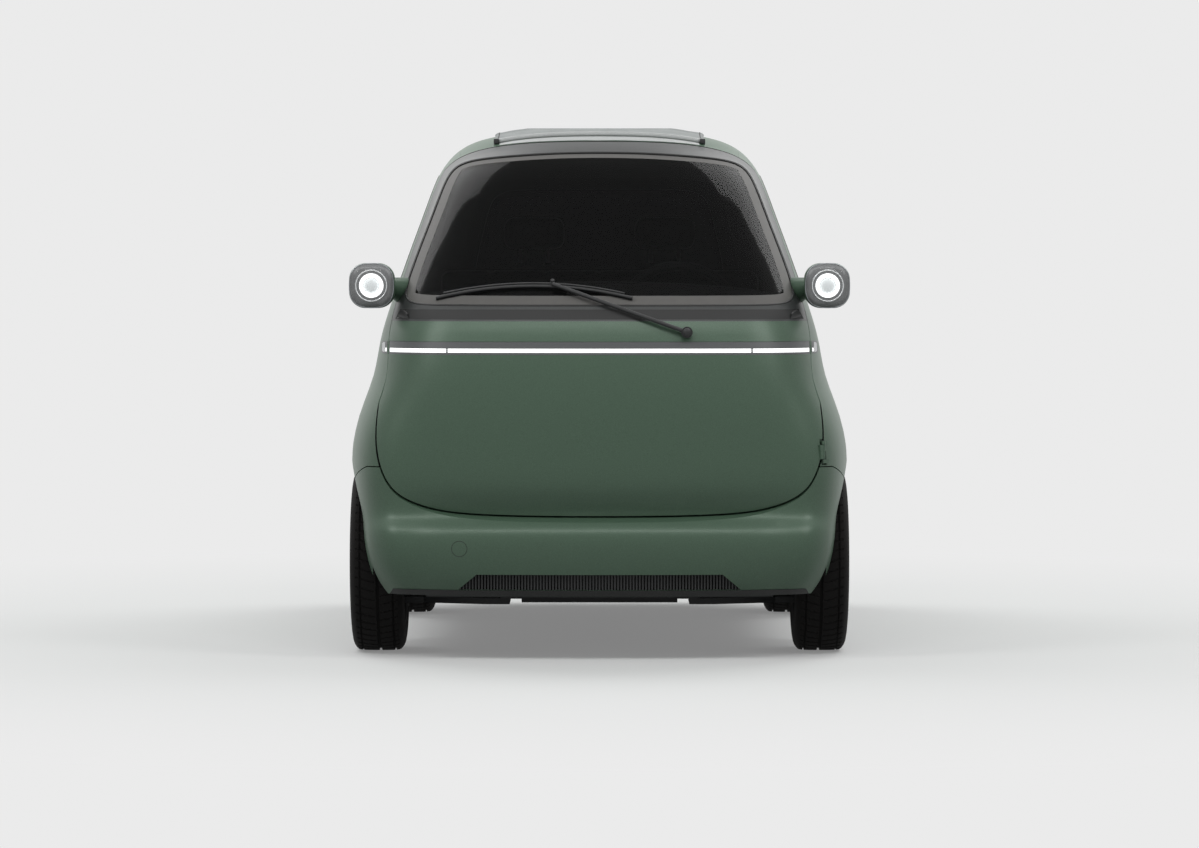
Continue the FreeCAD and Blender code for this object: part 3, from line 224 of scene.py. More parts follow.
def glowing(name, base, glow, strength):
    material, tree, shader, place = new_material(name, base, 0.35)
    shader.inputs["Emission Color"].default_value = colour(glow)
    shader.inputs["Emission Strength"].default_value = strength
    mottle(tree, shader, place, lens_patch_mm, base, base, 0.3, 0.7)
    return material


# Body paint: satin green, paler where it turns up to the light. The second has no cabin side.
green_paint = satin_metallic_paint("satin_metallic_green_paint", "#506856", "#465C4B")
outer_green = satin_metallic_paint("satin_metallic_green_paint_unlined", "#506856", "#465C4B", lined=False)

# The window frame's paint: dark grey with the same soft highlight
frame_paint = satin_metallic_paint("satin_metallic_grey_paint", "#3F4141", "#393B3B")

# Moulded ABS and soft-touch PVC: near black and dull, with a fine grain
black_plastic = grained_finish("moulded_black_abs", "#141517", "#101112", 0.5, 1.5, 0.15)
soft_black = grained_finish("soft_touch_black_pvc", "#1A1B1D", "#141516", 0.7, 2.5, 0.25)
dash_grey = grained_finish("soft_touch_grey_pvc", "#3A3B3C", "#343536", 0.75, 2.5, 0.25)

# Rubber: the tyres swallow the light, the seals keep a faint shine
tyre_rubber = grained_finish("vulcanised_tyre_rubber", "#141211", "#0F0E0E", 0.85, 1.2, 0.25,
                             specular_ior_level=0.2)
seal_rubber = grained_finish("extruded_seal_rubber", "#0B0C0C", "#070808", 0.6, 2.0, 0.1)

# Metal: painted alloy rims, black steel below, bright turned steel, chrome round the lamps, satin posts and rails
cast_alloy = grained_finish("painted_cast_aluminium", "#8D9193", "#7F8385", 0.35, 2.0, 0.05, 0.8)
steel_parts = grained_finish("black_painted_steel", "#18191A", "#131415", 0.6, 3.0, 0.1, 0.1)
bright_steel = grained_finish("machined_steel", "#8F9294", "#83868A", 0.35, 6.0, 0.05, 1.0)
bright_chrome = grained_finish("polished_chrome", "#C6C8C9", "#BFC1C2", 0.12, 20.0, 0.0, 1.0)
mirror_glass = grained_finish("silvered_mirror_glass", "#D5D8DA", "#D2D5D7", 0.06, 60.0, 0.0, 1.0)
satin_steel = grained_finish("satin_stainless_steel", "#DADCDD", "#CFD1D2", 0.4, 3.0, 0.03, 0.1)
# The rails' metal also paints the highlight on the roof's front edge, before the sunroof
rail_metal_and_painted_highlight = grained_finish("anodised_aluminium_rail_and_painted_highlight", "#B6B9B8", "#ADB0AF", 0.45, 4.0, 0.03, 0.1)

# Glass: the windscreen lets half the light through, the others look black, and the lamps' covers are clear
screen_glass = tinted_glass("tinted_windscreen_glass", "#050606", 0.50, 0.12)
side_glass = tinted_glass("tinted_side_glass", "#050606", 0.96, 0.2)
lamp_glass = tinted_glass("clear_lamp_cover", "#FFFFFF", 0.10)

# Ceramic print on the glass edges: grey and dull on the windscreen, black and glossy on the other windows
frit_paint = grained_finish("printed_glass_band", "#6D6C6A", "#696866", 0.55, 30.0, 0.0, specular_ior_level=0.15)
black_frit = grained_finish("black_printed_glass_band", "#0C0D0D", "#0A0B0B", 0.12, 30.0, 0.0)

# Lamps: white strips and rings that glow, a frosted core, red strips in a dark red cover, grey housings
lamp_white = glowing("white_led_lens", "#F4F8F8", "#FFFFFF", 1.3)
lamp_core = glowing("frosted_lamp_lens", "#C9CECF", "#E4E9EA", 0.35)
lamp_red = glowing("red_led_lens", "#7A0E12", "#C01018", 0.5)
red_cover = grained_finish("moulded_red_pmma", "#4A0B0E", "#3F090B", 0.2, 40.0, 0.0)
lamp_grey = grained_finish("satin_grey_lamp_reflector", "#6C6E6F", "#646667", 0.35, 20.0, 0.0, 0.2)
lamp_housing = grained_finish("dark_grey_lamp_housing", "#5E6061", "#575A5B", 0.4, 3.0, 0.05)

# Cloth: near black seats, grey canvas with a dark underside, and dark felt on the luggage floor
seat_cloth = woven_cloth("woven_seat_cloth", "#1D1F20", "#17191A", 18.85)
roof_cloth = woven_cloth("acrylic_roof_canvas", "#8C9190", "#7E8382", 12.57, lining=trim_colour)
carpet = woven_cloth("needle_felt_carpet", "#161718", "#101112", 25.13)

finishes = {
    green_paint: ["door_panel", "roof_panel", "side_panel_left", "side_panel_right", "tailgate"],
    outer_green: ["front_bumper", "rear_bumper", "lamp_pod_left", "lamp_pod_right"],
    frame_paint: ["door_frame"],
    black_plastic: ["front_grille", "wiper", "wheel_housings", "steering_column"],
    soft_black: ["dashboard", "steering_wheel"],
    screen_glass: ["windscreen"],
    side_glass: ["side_window_left", "side_window_right", "rear_window"],
    lamp_housing: ["light_bar"],
    red_cover: ["tail_lamp_bar"],
    seat_cloth: ["seat_cushion", "seat_back", "head_restraints"],
    roof_cloth: ["sunroof"],
    carpet: ["luggage_floor"],
    steel_parts: ["floor_pan", "front_arms", "front_struts", "steering_rack", "rear_axle", "drive_unit",
                  "battery_block", "knuckle_left", "knuckle_right", "belt_anchors"],
    tyre_rubber: [name for name in nodes if name.startswith("tyre_")],
    cast_alloy: [name for name in nodes if name.startswith("rim_")],
}
for material, names in finishes.items():
    for name in names:
        nodes[name].data.materials.clear()
        nodes[name].data.materials.append(material)


def ray_tree(*names):
    """A tree of the CAD nodes' faces, to cast rays onto."""
    vertices, faces = [], []
    for name in names:
        mesh = nodes[name].data
        start = len(vertices)
        vertices += [v.co.copy() for v in mesh.vertices]
        faces += [[start + i for i in p.vertices] for p in mesh.polygons]
    return BVHTree.FromPolygons(vertices, faces)


# The sides that rays are cast from: a ray's direction, and its start from two coordinates
views = {"front": (Vector((0, 1, 0)), lambda a, b: Vector((a, -3, b))),
         "back": (Vector((0, -1, 0)), lambda a, b: Vector((a, 3, b))),
         "left": (Vector((-1, 0, 0)), lambda a, b: Vector((3, a, b))),
         "right": (Vector((1, 0, 0)), lambda a, b: Vector((-3, a, b))),
         "top": (Vector((0, 0, -1)), lambda a, b: Vector((a, b, 3)))}


def skin_place(tree, view, a, b, rise=0.0):
    """Where a ray from one side meets the skin, lifted by rise, and the skin's normal there."""
    direction, start = views[view]
    at, normal, _, _ = tree.ray_cast(start(a, b), direction)
    if at is None:
        return None, None
    if normal.dot(direction) > 0:
        normal = -normal
    return at + normal * rise, normal


def smooth_loop(poles, count):
    """Points on the closed cubic B-spline of these poles, which is how the source rounds its outlines."""
    n = len(poles)
    points = []
    for k in range(count):
        t = n * k / count
        i = int(t)
        u = t - i
        weights = ((1 - u) ** 3 / 6, (3 * u ** 3 - 6 * u ** 2 + 4) / 6, (-3 * u ** 3 + 3 * u ** 2 + 3 * u + 1) / 6,
                   u ** 3 / 6)
        near = [poles[(i + j) % n] for j in range(4)]
        points.append(tuple(sum(w * p[axis] for w, p in zip(weights, near)) for axis in (0, 1)))
    return points


def inset_loop(loop, distance):
    """A closed outline moved inwards (or outwards, if distance is negative). The distance may depend on the
    direction, given as its shares across and up."""
    area = sum(a[0] * b[1] - b[0] * a[1] for a, b in zip(loop, loop[1:] + loop[:1]))
    turn = 1 if area > 0 else -1
    moved = []
    for before, at, after in zip(loop[-1:] + loop[:-1], loop, loop[1:] + loop[:1]):
        dx, dy = after[0] - before[0], after[1] - before[1]
        length = math.hypot(dx, dy) or 1
        across, up = -turn * dy / length, turn * dx / length
        run = distance(across, up) if callable(distance) else distance
        moved.append((at[0] + across * run, at[1] + up * run))
    return moved


def circle(count):
    """Angles in even steps round a circle."""
    return [2 * math.pi * k / count for k in range(count)]


def mesh_object(name, vertices, faces, material, body):
    """A smooth piece from its points and faces, which rides on a body if one is given."""
    mesh = bpy.data.meshes.new(name)
    mesh.from_pydata([tuple(v) for v in vertices], [], faces)
    mesh.update()
    piece = bpy.data.objects.new(name, mesh)
    scene.collection.objects.link(piece)
    mesh.materials.append(material)
    mesh.shade_smooth()
    if body:
        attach(piece, body)
    return piece


def grid_piece(name, rows, material, body, closed=False):
    """A piece from rows of points, each row as long as the next. A closed one joins its last row to its first."""
    width = len(rows[0])
    vertices = [p for row in rows for p in row]
    faces = []
    count = len(rows)
    for j in range(count if closed else count - 1):
        after = (j + 1) % count
        for i in range(width - 1):
            faces.append((j * width + i, j * width + i + 1, after * width + i + 1, after * width + i))
    return mesh_object(name, vertices, faces, material, body)


def skin_band(name, tree, view, first, second, rise, material, body, closed=True, across=4, edge_drop=0.0):
    """A band on the skin between two outlines of one view. Its long edges sink by edge_drop."""
    rows = []
    for a, b in zip(first, second):
        row = []
        for k in range(across + 1):
            share = k / across
            lift = rise - edge_drop * (2 * share - 1) ** 4
            at, _ = skin_place(tree, view, a[0] + (b[0] - a[0]) * share, a[1] + (b[1] - a[1]) * share, lift)
            row.append(at)
        if None not in row:
            rows.append(row)
    return grid_piece(name, rows, material, body, closed)


def tube_piece(name, points, radius, material, body, closed=False, sides=10, flat=1.0, ups=None):
    """A round or flattened bar along a line of points."""
    points = [Vector(p) for p in points]
    rows = []
    count = len(points)
    for i, at in enumerate(points):
        before = points[(i - 1) % count] if closed or i else points[i]
        after = points[(i + 1) % count] if closed or i < count - 1 else points[i]
        along = (after - before).normalized()
        up = ups[i] if ups else Vector((0, 0, 1)) if abs(along.z) < 0.9 else Vector((0, 1, 0))
        side = along.cross(up).normalized()
        up = side.cross(along).normalized()
        rows.append([at + side * math.cos(2 * math.pi * k / sides) * radius
                     + up * math.sin(2 * math.pi * k / sides) * radius * flat for k in range(sides + 1)])
    piece = grid_piece(name, rows, material, body, closed)
    weld(piece)
    if not closed:
        cap_ends(piece)
    return piece


def weld(piece):
    """Joins the points that lie on each other and turns the faces outwards."""
    mesh = bmesh.new()
    mesh.from_mesh(piece.data)
    bmesh.ops.remove_doubles(mesh, verts=mesh.verts, dist=0.001 * mm)
    bmesh.ops.recalc_face_normals(mesh, faces=mesh.faces)
    mesh.to_mesh(piece.data)
    mesh.free()


def cap_ends(piece):
    """Closes the open ends of a bar."""
    mesh = bmesh.new()
    mesh.from_mesh(piece.data)
    bmesh.ops.holes_fill(mesh, edges=mesh.edges, sides=0)
    bmesh.ops.recalc_face_normals(mesh, faces=mesh.faces)
    mesh.to_mesh(piece.data)
    mesh.free()


def skin_bead(name, tree, view, outline, radius, rise, material, body, closed=True):
    """A rubber bead that lies on the skin along an outline of one view."""
    places = [skin_place(tree, view, a, b, rise) for a, b in outline]
    places = [p for p in places if p[0] is not None]
    return tube_piece(name, [p[0] for p in places], radius, material, body, closed, 8, 1.0, [p[1] for p in places])


def turned_piece(name, profile, centre, axis, material, body, steps):
    """A piece turned from a profile of (along the axis, radius) in millimetres about an axis through centre."""
    axis = Vector(axis).normalized()
    side = axis.orthogonal().normalized()
    other = axis.cross(side)
    rows = []
    for angle in circle(steps):
        out = side * math.cos(angle) + other * math.sin(angle)
        rows.append([Vector(centre) + axis * (along * mm) + out * (radius * mm) for along, radius in profile])
    piece = grid_piece(name, rows, material, body, True)
    weld(piece)
    return piece


def block_piece(name, low, high, edge, material, body, segments=3):
    """A box with rounded edges."""
    mesh = bmesh.new()
    bmesh.ops.create_cube(mesh, size=1)
    size = Vector(high) - Vector(low)
    middle = (Vector(high) + Vector(low)) / 2
    for vertex in mesh.verts:
        vertex.co = Vector((vertex.co.x * size.x, vertex.co.y * size.y, vertex.co.z * size.z)) + middle
    bmesh.ops.bevel(mesh, geom=mesh.edges[:], offset=edge, segments=segments, affect="EDGES", profile=0.5)
    data = bpy.data.meshes.new(name)
    mesh.to_mesh(data)
    mesh.free()
    piece = bpy.data.objects.new(name, data)
    scene.collection.objects.link(piece)
    data.materials.append(material)
    data.shade_smooth()
    if body:
        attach(piece, body)
    return piece


# A window's rubber seal lies over the edge of its glass, and a printed band runs inside it
seal_inset, seal_radius, seal_rise = 1 * mm, 4 * mm, 0.5 * mm
band_outer, band_inner, band_rise = 3 * mm, 24 * mm, 0.3 * mm

# Windscreen: its outline as in the source, with the seal and a wider band
screen_half_width = 557 * mm
screen_bottom_z = 1010 * mm
screen_top_z = 1459 * mm
screen_shares = [
    (0, 0), (0.25, 0), (0.5, 0), (0.75, 0.002), (0.9, 0.004), (0.985, 0.018), (1.012, 0.07), (1.002, 0.145),
    (0.985, 0.22), (0.952, 0.34), (0.915, 0.47), (0.875, 0.61), (0.840, 0.74), (0.812, 0.83), (0.775, 0.905),
    (0.70, 0.95), (0.56, 0.97), (0.40, 0.985), (0.22, 0.998), (0, 1.002),
]


def front_poles(shares, half_width, low_z, high_z):
    """The poles of a symmetric outline, from the shares of its half."""
    half = [(half_width * across, low_z + (high_z - low_z) * up) for across, up in shares]
    return half[1:] + [(-x, z) for x, z in reversed(half[:-1]) if x > 0] + half[:1]


front_tree = ray_tree("windscreen", "door_frame", "door_panel", "light_bar")
screen_loop = smooth_loop(front_poles(screen_shares, screen_half_width, screen_bottom_z, screen_top_z), 260)
skin_bead("windscreen_seal", front_tree, "front", inset_loop(screen_loop, seal_inset), seal_radius, seal_rise,
          seal_rubber, "front_door")
glass_tree = ray_tree("windscreen")


def frit_width(across, up):
    """The printed band is narrower along the top edge, where its direction inwards is down."""
    return (16 if up < -0.85 else 30 - 14 * max(0, -up) ** 2) * mm


skin_band("windscreen_frit", glass_tree, "front", inset_loop(screen_loop, 4 * mm),
          inset_loop(screen_loop, frit_width), band_rise, frit_paint, "front_door", True, 6)


def line_across(low_x, high_x, z, steps):
    """A level line across the car in even steps."""
    return [(low_x + (high_x - low_x) * k / steps, z) for k in range(steps + 1)]


# Cowl: a near-black band on the skin between the windscreen and the painted strip, as painted shade of the recess
skin_band("cowl_gap_painted_shade", front_tree, "front", line_across(-590 * mm, 590 * mm, 973 * mm, 80),
          line_across(-575 * mm, 575 * mm, 1001 * mm, 80), 0.6 * mm, seal_rubber, "front_door", False)

# Light bar: three white strips on its grey housing, and an end cap at each side
led_low, led_high = 878.5 * mm, 889.5 * mm
for name, low_x, high_x in (("led_strip_middle", -432, 432), ("led_strip_left", 437, 603),
                            ("led_strip_right", -603, -437)):
    low = line_across(low_x * mm, high_x * mm, led_low, 60)
    high = [(x, led_high) for x, _ in low]
    skin_band(name, front_tree, "front", low, high, 1.2 * mm, lamp_white, "front_door", False)

end_steps = 8
end_rounding = 5
side_tree = ray_tree("side_panel_left", "side_panel_right")
for side, end in both_sides:
    for name, low_x, high_x, low_z, high_z, rise, material in (
            ("lamp_bar_end_" + end, 613, 634, 873, 909, 0.8, lamp_housing),
            ("lamp_bar_tip_" + end, 613.5, 618, 878.5, 889.5, 1.8, lamp_white),
            ("lamp_bar_cap_" + end, 618.5, 630, 877, 905, 1.6, satin_steel)):
        lower, upper = [], []
        for k in range(end_steps + 1):
            x = side * (low_x + (high_x - low_x) * k / end_steps) * mm
            cut = end_rounding * (k / end_steps) ** 6
            lower.append((x, (low_z + cut) * mm))
            upper.append((x, (high_z - cut) * mm))
        skin_band(name, side_tree, "front", lower, upper, rise * mm, material, "body", False)

# Lamp pods: a grey reflector face with a white ring behind a domed cover, and a mirror on the back
pod_x, pod_z = 658 * mm, 1069 * mm
pod_front_y = -1005 * mm
mirror_y = pod_front_y + 118.4 * mm
pod_half = 65 * mm
pod_power = 2.7


def rounded_square(angle):
    """The radius of a unit rounded square at one angle."""
    return (abs(math.cos(angle)) ** pod_power + abs(math.sin(angle)) ** pod_power) ** (-1 / pod_power)


def pod_face(name, x, rim, lift, dome, material):
    """A face over a pod's front that follows the housing lift off it, and stands dome further out at its middle."""
    rings = 14
    rows = []
    for angle in circle(72):
        row = []
        for j in range(rings + 1):
            out = j / rings
            size = pod_half * rim * out * (rounded_square(angle) * out + (1 - out))
            at, _ = skin_place(pod_tree, "front", x + size * math.cos(angle), pod_z + size * math.sin(angle))
            row.append((at.x, at.y - lift - dome * (1 - out ** 2), at.z))
        rows.append(row)
    piece = grid_piece(name, rows, material, "body", True)
    weld(piece)
    return piece


def mirror_face(name, x, rim, y, material):
    """The flat mirror on a pod's back."""
    places = []
    for angle in circle(72):
        size = pod_half * rim * rounded_square(angle)
        places.append((x + size * math.cos(angle), y, pod_z + size * math.sin(angle)))
    return grid_piece(name, [[(x, y, pod_z), place] for place in places], material, "body", True)


pod_tree = ray_tree("lamp_pod_left", "lamp_pod_right")
for side, end in both_sides:
    x = side * pod_x
    pod_face("lamp_reflector_" + end, x, 0.955, 0.8 * mm, 1 * mm, lamp_grey)
    pod_face("lamp_cover_" + end, x, 0.96, 2 * mm, 14 * mm, lamp_glass)
    rim_places = []
    for angle in circle(96):
        size = pod_half * 0.965 * rounded_square(angle)
        at, _ = skin_place(pod_tree, "front", x + size * math.cos(angle), pod_z + size * math.sin(angle), 0.8 * mm)
        rim_places.append(at)
    tube_piece("lamp_rim_" + end, rim_places, 1.7 * mm, bright_steel, "body", True, 8, ups=[Vector((0, 1, 0))] * 96)
    turned_piece("lamp_ring_" + end, [(0, 23.5), (5, 24), (7, 27), (7.5, 29), (7, 31), (5, 34), (0, 35)],
                 (x, pod_front_y - 1.5 * mm, pod_z), (0, -1, 0), lamp_white, "body", 72)
    turned_piece("lamp_bezel_" + end, [(0, 42.5), (4.5, 43.5), (5.5, 45), (4.5, 46.5), (0, 47)],
                 (x, pod_front_y - 1 * mm, pod_z), (0, -1, 0), bright_chrome, "body", 72)
    turned_piece("lamp_lens_" + end, [(9, 0), (8.6, 6), (7, 13), (4, 19), (0, 22.5)],
                 (x, pod_front_y - 1.5 * mm, pod_z), (0, -1, 0), lamp_core, "body", 48)
    mirror_face("mirror_" + end, x, 0.47, mirror_y, mirror_glass)

# Wiper: the blade's rubber and spoiler under its spine, the rubber band also painted shadow, the arm's joint and
# the pivot's nut
blade_line = [(-187 + 281 * k / 24, 1068 - 34 * (k / 24) ** 2) for k in range(-24, 25)]
spine = [(x * mm, z * mm) for x, z in blade_line]
# The black band below the spine is the blade's rubber and, below that, painted shadow of the blade on the glass
skin_band("wiper_rubber_and_painted_shadow", glass_tree, "front", [(x, z - 9 * mm) for x, z in spine],
          [(x, z + 1 * mm) for x, z in spine], 2.6 * mm, seal_rubber, "front_door", False, 3)
skin_bead("wiper_spoiler", glass_tree, "front", [(x, z + 2 * mm) for x, z in spine[2:-2]], 3.2 * mm, 9 * mm,
          black_plastic, "front_door", False)
pivot_at, _ = skin_place(front_tree, "front", 249 * mm, 937 * mm)
turned_piece("wiper_nut", [(0, 12), (4, 12), (7, 9), (8, 4), (8.5, 0)],
             pivot_at + Vector((0, -23 * mm, 0)), (0, -1, 0), black_plastic, "front_door", 32)
elbow_at, elbow_out = skin_place(glass_tree, "front", -134 * mm, 1074 * mm, 12 * mm)
turned_piece("wiper_joint", [(-6, 0), (-6, 6), (4, 6), (6, 4), (6, 0)], elbow_at, elbow_out, black_plastic,
             "front_door", 24)

# Dashboard: a soft hood across the top with a lighter edge. It hangs on the door, as the dashboard does.
hood_half = 505 * mm
hood_reach = hood_half * 0.999
hood_foot, hood_rise = 1044, 38


def hood_top(x):
    """The height of the hood's crown at one place across."""
    return (hood_foot + hood_rise * (1 - (x / hood_half) ** 2) ** 0.7) * mm


rows = []
for k in range(61):
    x = -hood_reach + 2 * hood_reach * k / 60
    top = hood_top(x)
    rows.append([(x, -1004 * mm, 1040 * mm), (x, -996 * mm, top - 12 * mm), (x, -984 * mm, top - 3 * mm),
                 (x, -968 * mm, top), (x, -950 * mm, top - 3 * mm), (x, -941 * mm, top - 12 * mm),
                 (x, -938 * mm, 1036 * mm)])
grid_piece("dash_hood", rows, soft_black, "front_door")
tube_piece("dash_edge", [(row[2][0], row[2][1], row[2][2] + 1 * mm) for row in rows[2:-2]], 2 * mm, dash_grey,
           "front_door", False, 8)

# Rubber covers over the frame's lower corners; their black is painted shadow of the lamp arms above them
for side, end in both_sides:
    lower = [(side * (546 + 34 * k / 10) * mm, (974 + 6 * (k / 10) ** 2) * mm) for k in range(11)]
    upper = [(side * (550 + 28 * k / 10) * mm,
              (988 + 16 * math.sin(math.pi * k / 10) ** 0.5 * (0.4 + 0.6 * k / 10)) * mm) for k in range(11)]
    skin_band("corner_painted_shadow_" + end, front_tree, "front", lower, upper, 5 * mm, seal_rubber, "front_door", False, 8,
              5 * mm)

# Bumper: a black lip under its edge, and the round seam of the towing-eye cover
bumper_tree = ray_tree("front_bumper", "front_grille")
skin_band("front_lip", bumper_tree, "front", line_across(-600 * mm, 600 * mm, 188 * mm, 80),
          line_across(-590 * mm, 590 * mm, 204 * mm, 80), 1.2 * mm, seal_rubber, "body", False, 3)
tow_x, tow_z, tow_radius = -398, 323, 22
tow_circle = [((tow_x + tow_radius * math.cos(angle)) * mm, (tow_z + tow_radius * math.sin(angle)) * mm)
              for angle in circle(40)]
skin_bead("tow_cover_seam", bumper_tree, "front", tow_circle, 0.7 * mm, 0.1 * mm, seal_rubber, "body")

# Sunroof: one stretched canvas over hoops, a front rail with its two end brackets, and a painted highlight before
# them
roof_tree = ray_tree("sunroof")
canvas_half, canvas_front, canvas_back = 314 * mm, -572 * mm, 224 * mm
hoops = [canvas_front + (canvas_back - canvas_front) * share for share in (0.26, 0.5, 0.74)]
hoop_rise, hoop_width = 4.5 * mm, 16 * mm
canvas_sag, sag_reach = 1.2 * mm, 60 * mm
hem_drop, hem_reach = 4.0 * mm, 7 * mm


def canvas_height(x, y):
    """How far the canvas stands off its padding: up over the hoops, down between them and at its edges."""
    lift = 1.5 * mm
    for hoop in hoops:
        lift += hoop_rise * math.exp(-((y - hoop) / hoop_width) ** 2)
    nearest = min(abs(y - hoop) for hoop in hoops)
    lift -= canvas_sag * (1 - math.exp(-(nearest / sag_reach) ** 2))
    edge = min(canvas_half - abs(x), y - canvas_front, canvas_back - y)
    lift -= hem_drop * max(0.0, 1 - edge / hem_reach) ** 2
    lift += 0.5 * mm * math.sin(x * 90 + 1.5 * math.sin(y * 25)) * math.exp(-(edge / (90 * mm)) ** 2)
    return lift


rows = []
for j in range(161):
    y = canvas_front + (canvas_back - canvas_front) * j / 160
    row = []
    for k in range(97):
        x = -canvas_half + 2 * canvas_half * k / 96
        at, normal = skin_place(roof_tree, "top", x, y)
        row.append(at + normal * canvas_height(x, y))
    rows.append(row)


canvas = grid_piece("sunroof_canvas", rows, roof_cloth, "body")
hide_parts("sunroof")
hem_places = ([rows[j][94] for j in range(2, 159)] + [rows[159][k] for k in range(94, 1, -1)]
              + [rows[j][2] for j in range(158, 1, -1)])
hem = tube_piece("sunroof_hem", hem_places, 1.8 * mm, seal_rubber, "body", False, 6, 0.6)
rail_places = [skin_place(roof_tree, "top", x, canvas_front + 5 * mm, 1 * mm)[0]
               for x in [(-300 + 20 * k) * mm for k in range(31)]]
tube_piece("sunroof_rail", rail_places, 7.5 * mm, rail_metal_and_painted_highlight, "body", False, 12)
for side, end in both_sides:
    at = rail_places[-1 if side > 0 else 0]
    to_right, to_left = (2 * mm, 14 * mm) if side > 0 else (14 * mm, 2 * mm)
    block_piece("sunroof_bracket_" + end, (at.x - to_right, at.y - 11 * mm, at.z - 9 * mm),
                (at.x + to_left, at.y + 10 * mm, at.z + 7 * mm), 2.5 * mm, black_plastic, "body")
# A pale metal band over the green roof's front edge, before the rail: painted highlight of that edge in the light
roof_skin = ray_tree("roof_panel")
lit_edge_half = 296
lit_edge_back, lit_edge_front = [], []
for k in range(31):
    x = (-lit_edge_half + lit_edge_half * 2 * k / 30) * mm
    steps = [(-700 + 2 * step) * mm for step in range(80)]
    edge = next(y for y in steps if skin_place(roof_skin, "top", x, y)[0])
    lit_edge_back.append((x, canvas_front - 1 * mm))
    lit_edge_front.append((x, min(edge + 4 * mm, canvas_front - 4 * mm)))
skin_band("roof_edge_painted_highlight", roof_skin, "top", lit_edge_back, lit_edge_front, 2.5 * mm, rail_metal_and_painted_highlight, "body", False, 4,
          1.5 * mm)

# Side windows: a rubber seal, a black printed band and the bar between the sliding panes
half_length, full_height = 1259.5 * mm, 1530 * mm
side_window_shares = [
    (-0.5081, 0.6837), (-0.3176, 0.6797), (-0.0794, 0.6784), (0.1588, 0.6837), (0.3335, 0.6941),
    (0.4327, 0.7059), (0.4764, 0.7288), (0.4486, 0.7712), (0.3811, 0.8203), (0.2938, 0.8641),
    (0.1747, 0.8967), (0.0159, 0.9137), (-0.1588, 0.9163), (-0.2699, 0.9124), (-0.3573, 0.8967),
    (-0.4224, 0.8575), (-0.4827, 0.8072), (-0.5367, 0.7582), (-0.5836, 0.7137), (-0.5764, 0.6876),
]
side_loop = smooth_loop([(y * half_length, z * full_height) for y, z in side_window_shares], 220)
for side, end in both_sides:
    wall_tree = ray_tree("side_panel_" + end, "side_window_" + end)
    pane_tree = ray_tree("side_window_" + end)
    skin_bead("side_window_seal_" + end, wall_tree, end, inset_loop(side_loop, seal_inset), seal_radius, seal_rise,
              seal_rubber, "body")
    skin_band("side_window_band_" + end, pane_tree, end, inset_loop(side_loop, band_outer),
              inset_loop(side_loop, band_inner), band_rise, black_frit, "body", True, 5)
    bar = [(30 * mm, z) for z in [(1046 + 345 * k / 30) * mm for k in range(31)]]
    bar = [p for p in bar if skin_place(pane_tree, end, *p)[0]]
    skin_band("side_window_bar_" + end, pane_tree, end, bar, [(y + 16 * mm, z) for y, z in bar], 2.5 * mm,
              black_plastic, "body", False, 4, 2 * mm)

# Rear window: a rubber seal and a black printed band
rear_shares = [
    (0, 0), (0.3, 0), (0.6, 0), (0.83, 0.003), (0.96, 0.03), (1.0, 0.12), (0.98, 0.27), (0.955, 0.42),
    (0.92, 0.57), (0.885, 0.72), (0.85, 0.85), (0.80, 0.95), (0.70, 0.99), (0.5, 1), (0.25, 1), (0, 1),
]
rear_loop = smooth_loop(front_poles(rear_shares, 420 * mm, 985 * mm, 1375 * mm), 220)
rear_tree = ray_tree("tailgate", "rear_window")
skin_bead("rear_window_seal", rear_tree, "back", inset_loop(rear_loop, seal_inset), seal_radius, seal_rise,
          seal_rubber, "tailgate")
skin_band("rear_window_band", ray_tree("rear_window"), "back", inset_loop(rear_loop, band_outer),
          inset_loop(rear_loop, band_inner), band_rise, black_frit, "tailgate", True, 5)

# A rubber ribbon inside the tailgate's gap, on the body. Without it the light shines in through the gap. It follows
# the tailgate's outline as in the source, by rays from inside the car.
tail_shares = [
    (0, 0), (0.3, 0), (0.6, 0), (0.82, 0.004), (0.95, 0.03), (1.0, 0.09), (1.0, 0.2), (1.0, 0.34), (0.98, 0.48),
    (0.94, 0.61), (0.89, 0.74), (0.84, 0.85), (0.79, 0.94), (0.70, 0.985), (0.55, 0.998), (0.3, 1), (0, 1),
]
tail_loop = smooth_loop(front_poles(tail_shares, 500 * mm, 560 * mm, 1418 * mm), 220)
opening_tree = ray_tree("tailgate", "rear_window", "side_panel_left", "side_panel_right", "roof_panel")
seal_foot_z = 640 * mm
seal_off, seal_most = 3 * mm, 120 * mm
inside_y = 200 * mm
rows = []
for gate_side, body_side in zip(inset_loop(tail_loop, 8 * mm), inset_loop(tail_loop, -24 * mm)):
    if gate_side[1] > seal_foot_z:
        inner = [opening_tree.ray_cast(Vector((x, inside_y, z)), Vector((0, 1, 0)))[0]
                 for x, z in (gate_side, body_side)]
        if None not in inner:
            a, b = [place - Vector((0, seal_off, 0)) for place in inner]
            b.y = max(b.y, a.y - seal_most)
            rows.append([a, a.lerp(b, 0.5), b])
grid_piece("tailgate_seal", rows, seal_rubber, "body")

# The tail lamp's red strips
tail_tree = ray_tree("tail_lamp_bar")
for name, low_x, high_x in (("tail_strip_middle", -300, 300), ("tail_strip_left", 306, 480),
                            ("tail_strip_right", -480, -306)):
    low = line_across(low_x * mm, high_x * mm, 812 * mm, 40)
    skin_band(name, tail_tree, "back", low, [(x, 826 * mm) for x, _ in low], 0.8 * mm, lamp_red, "tailgate", False)

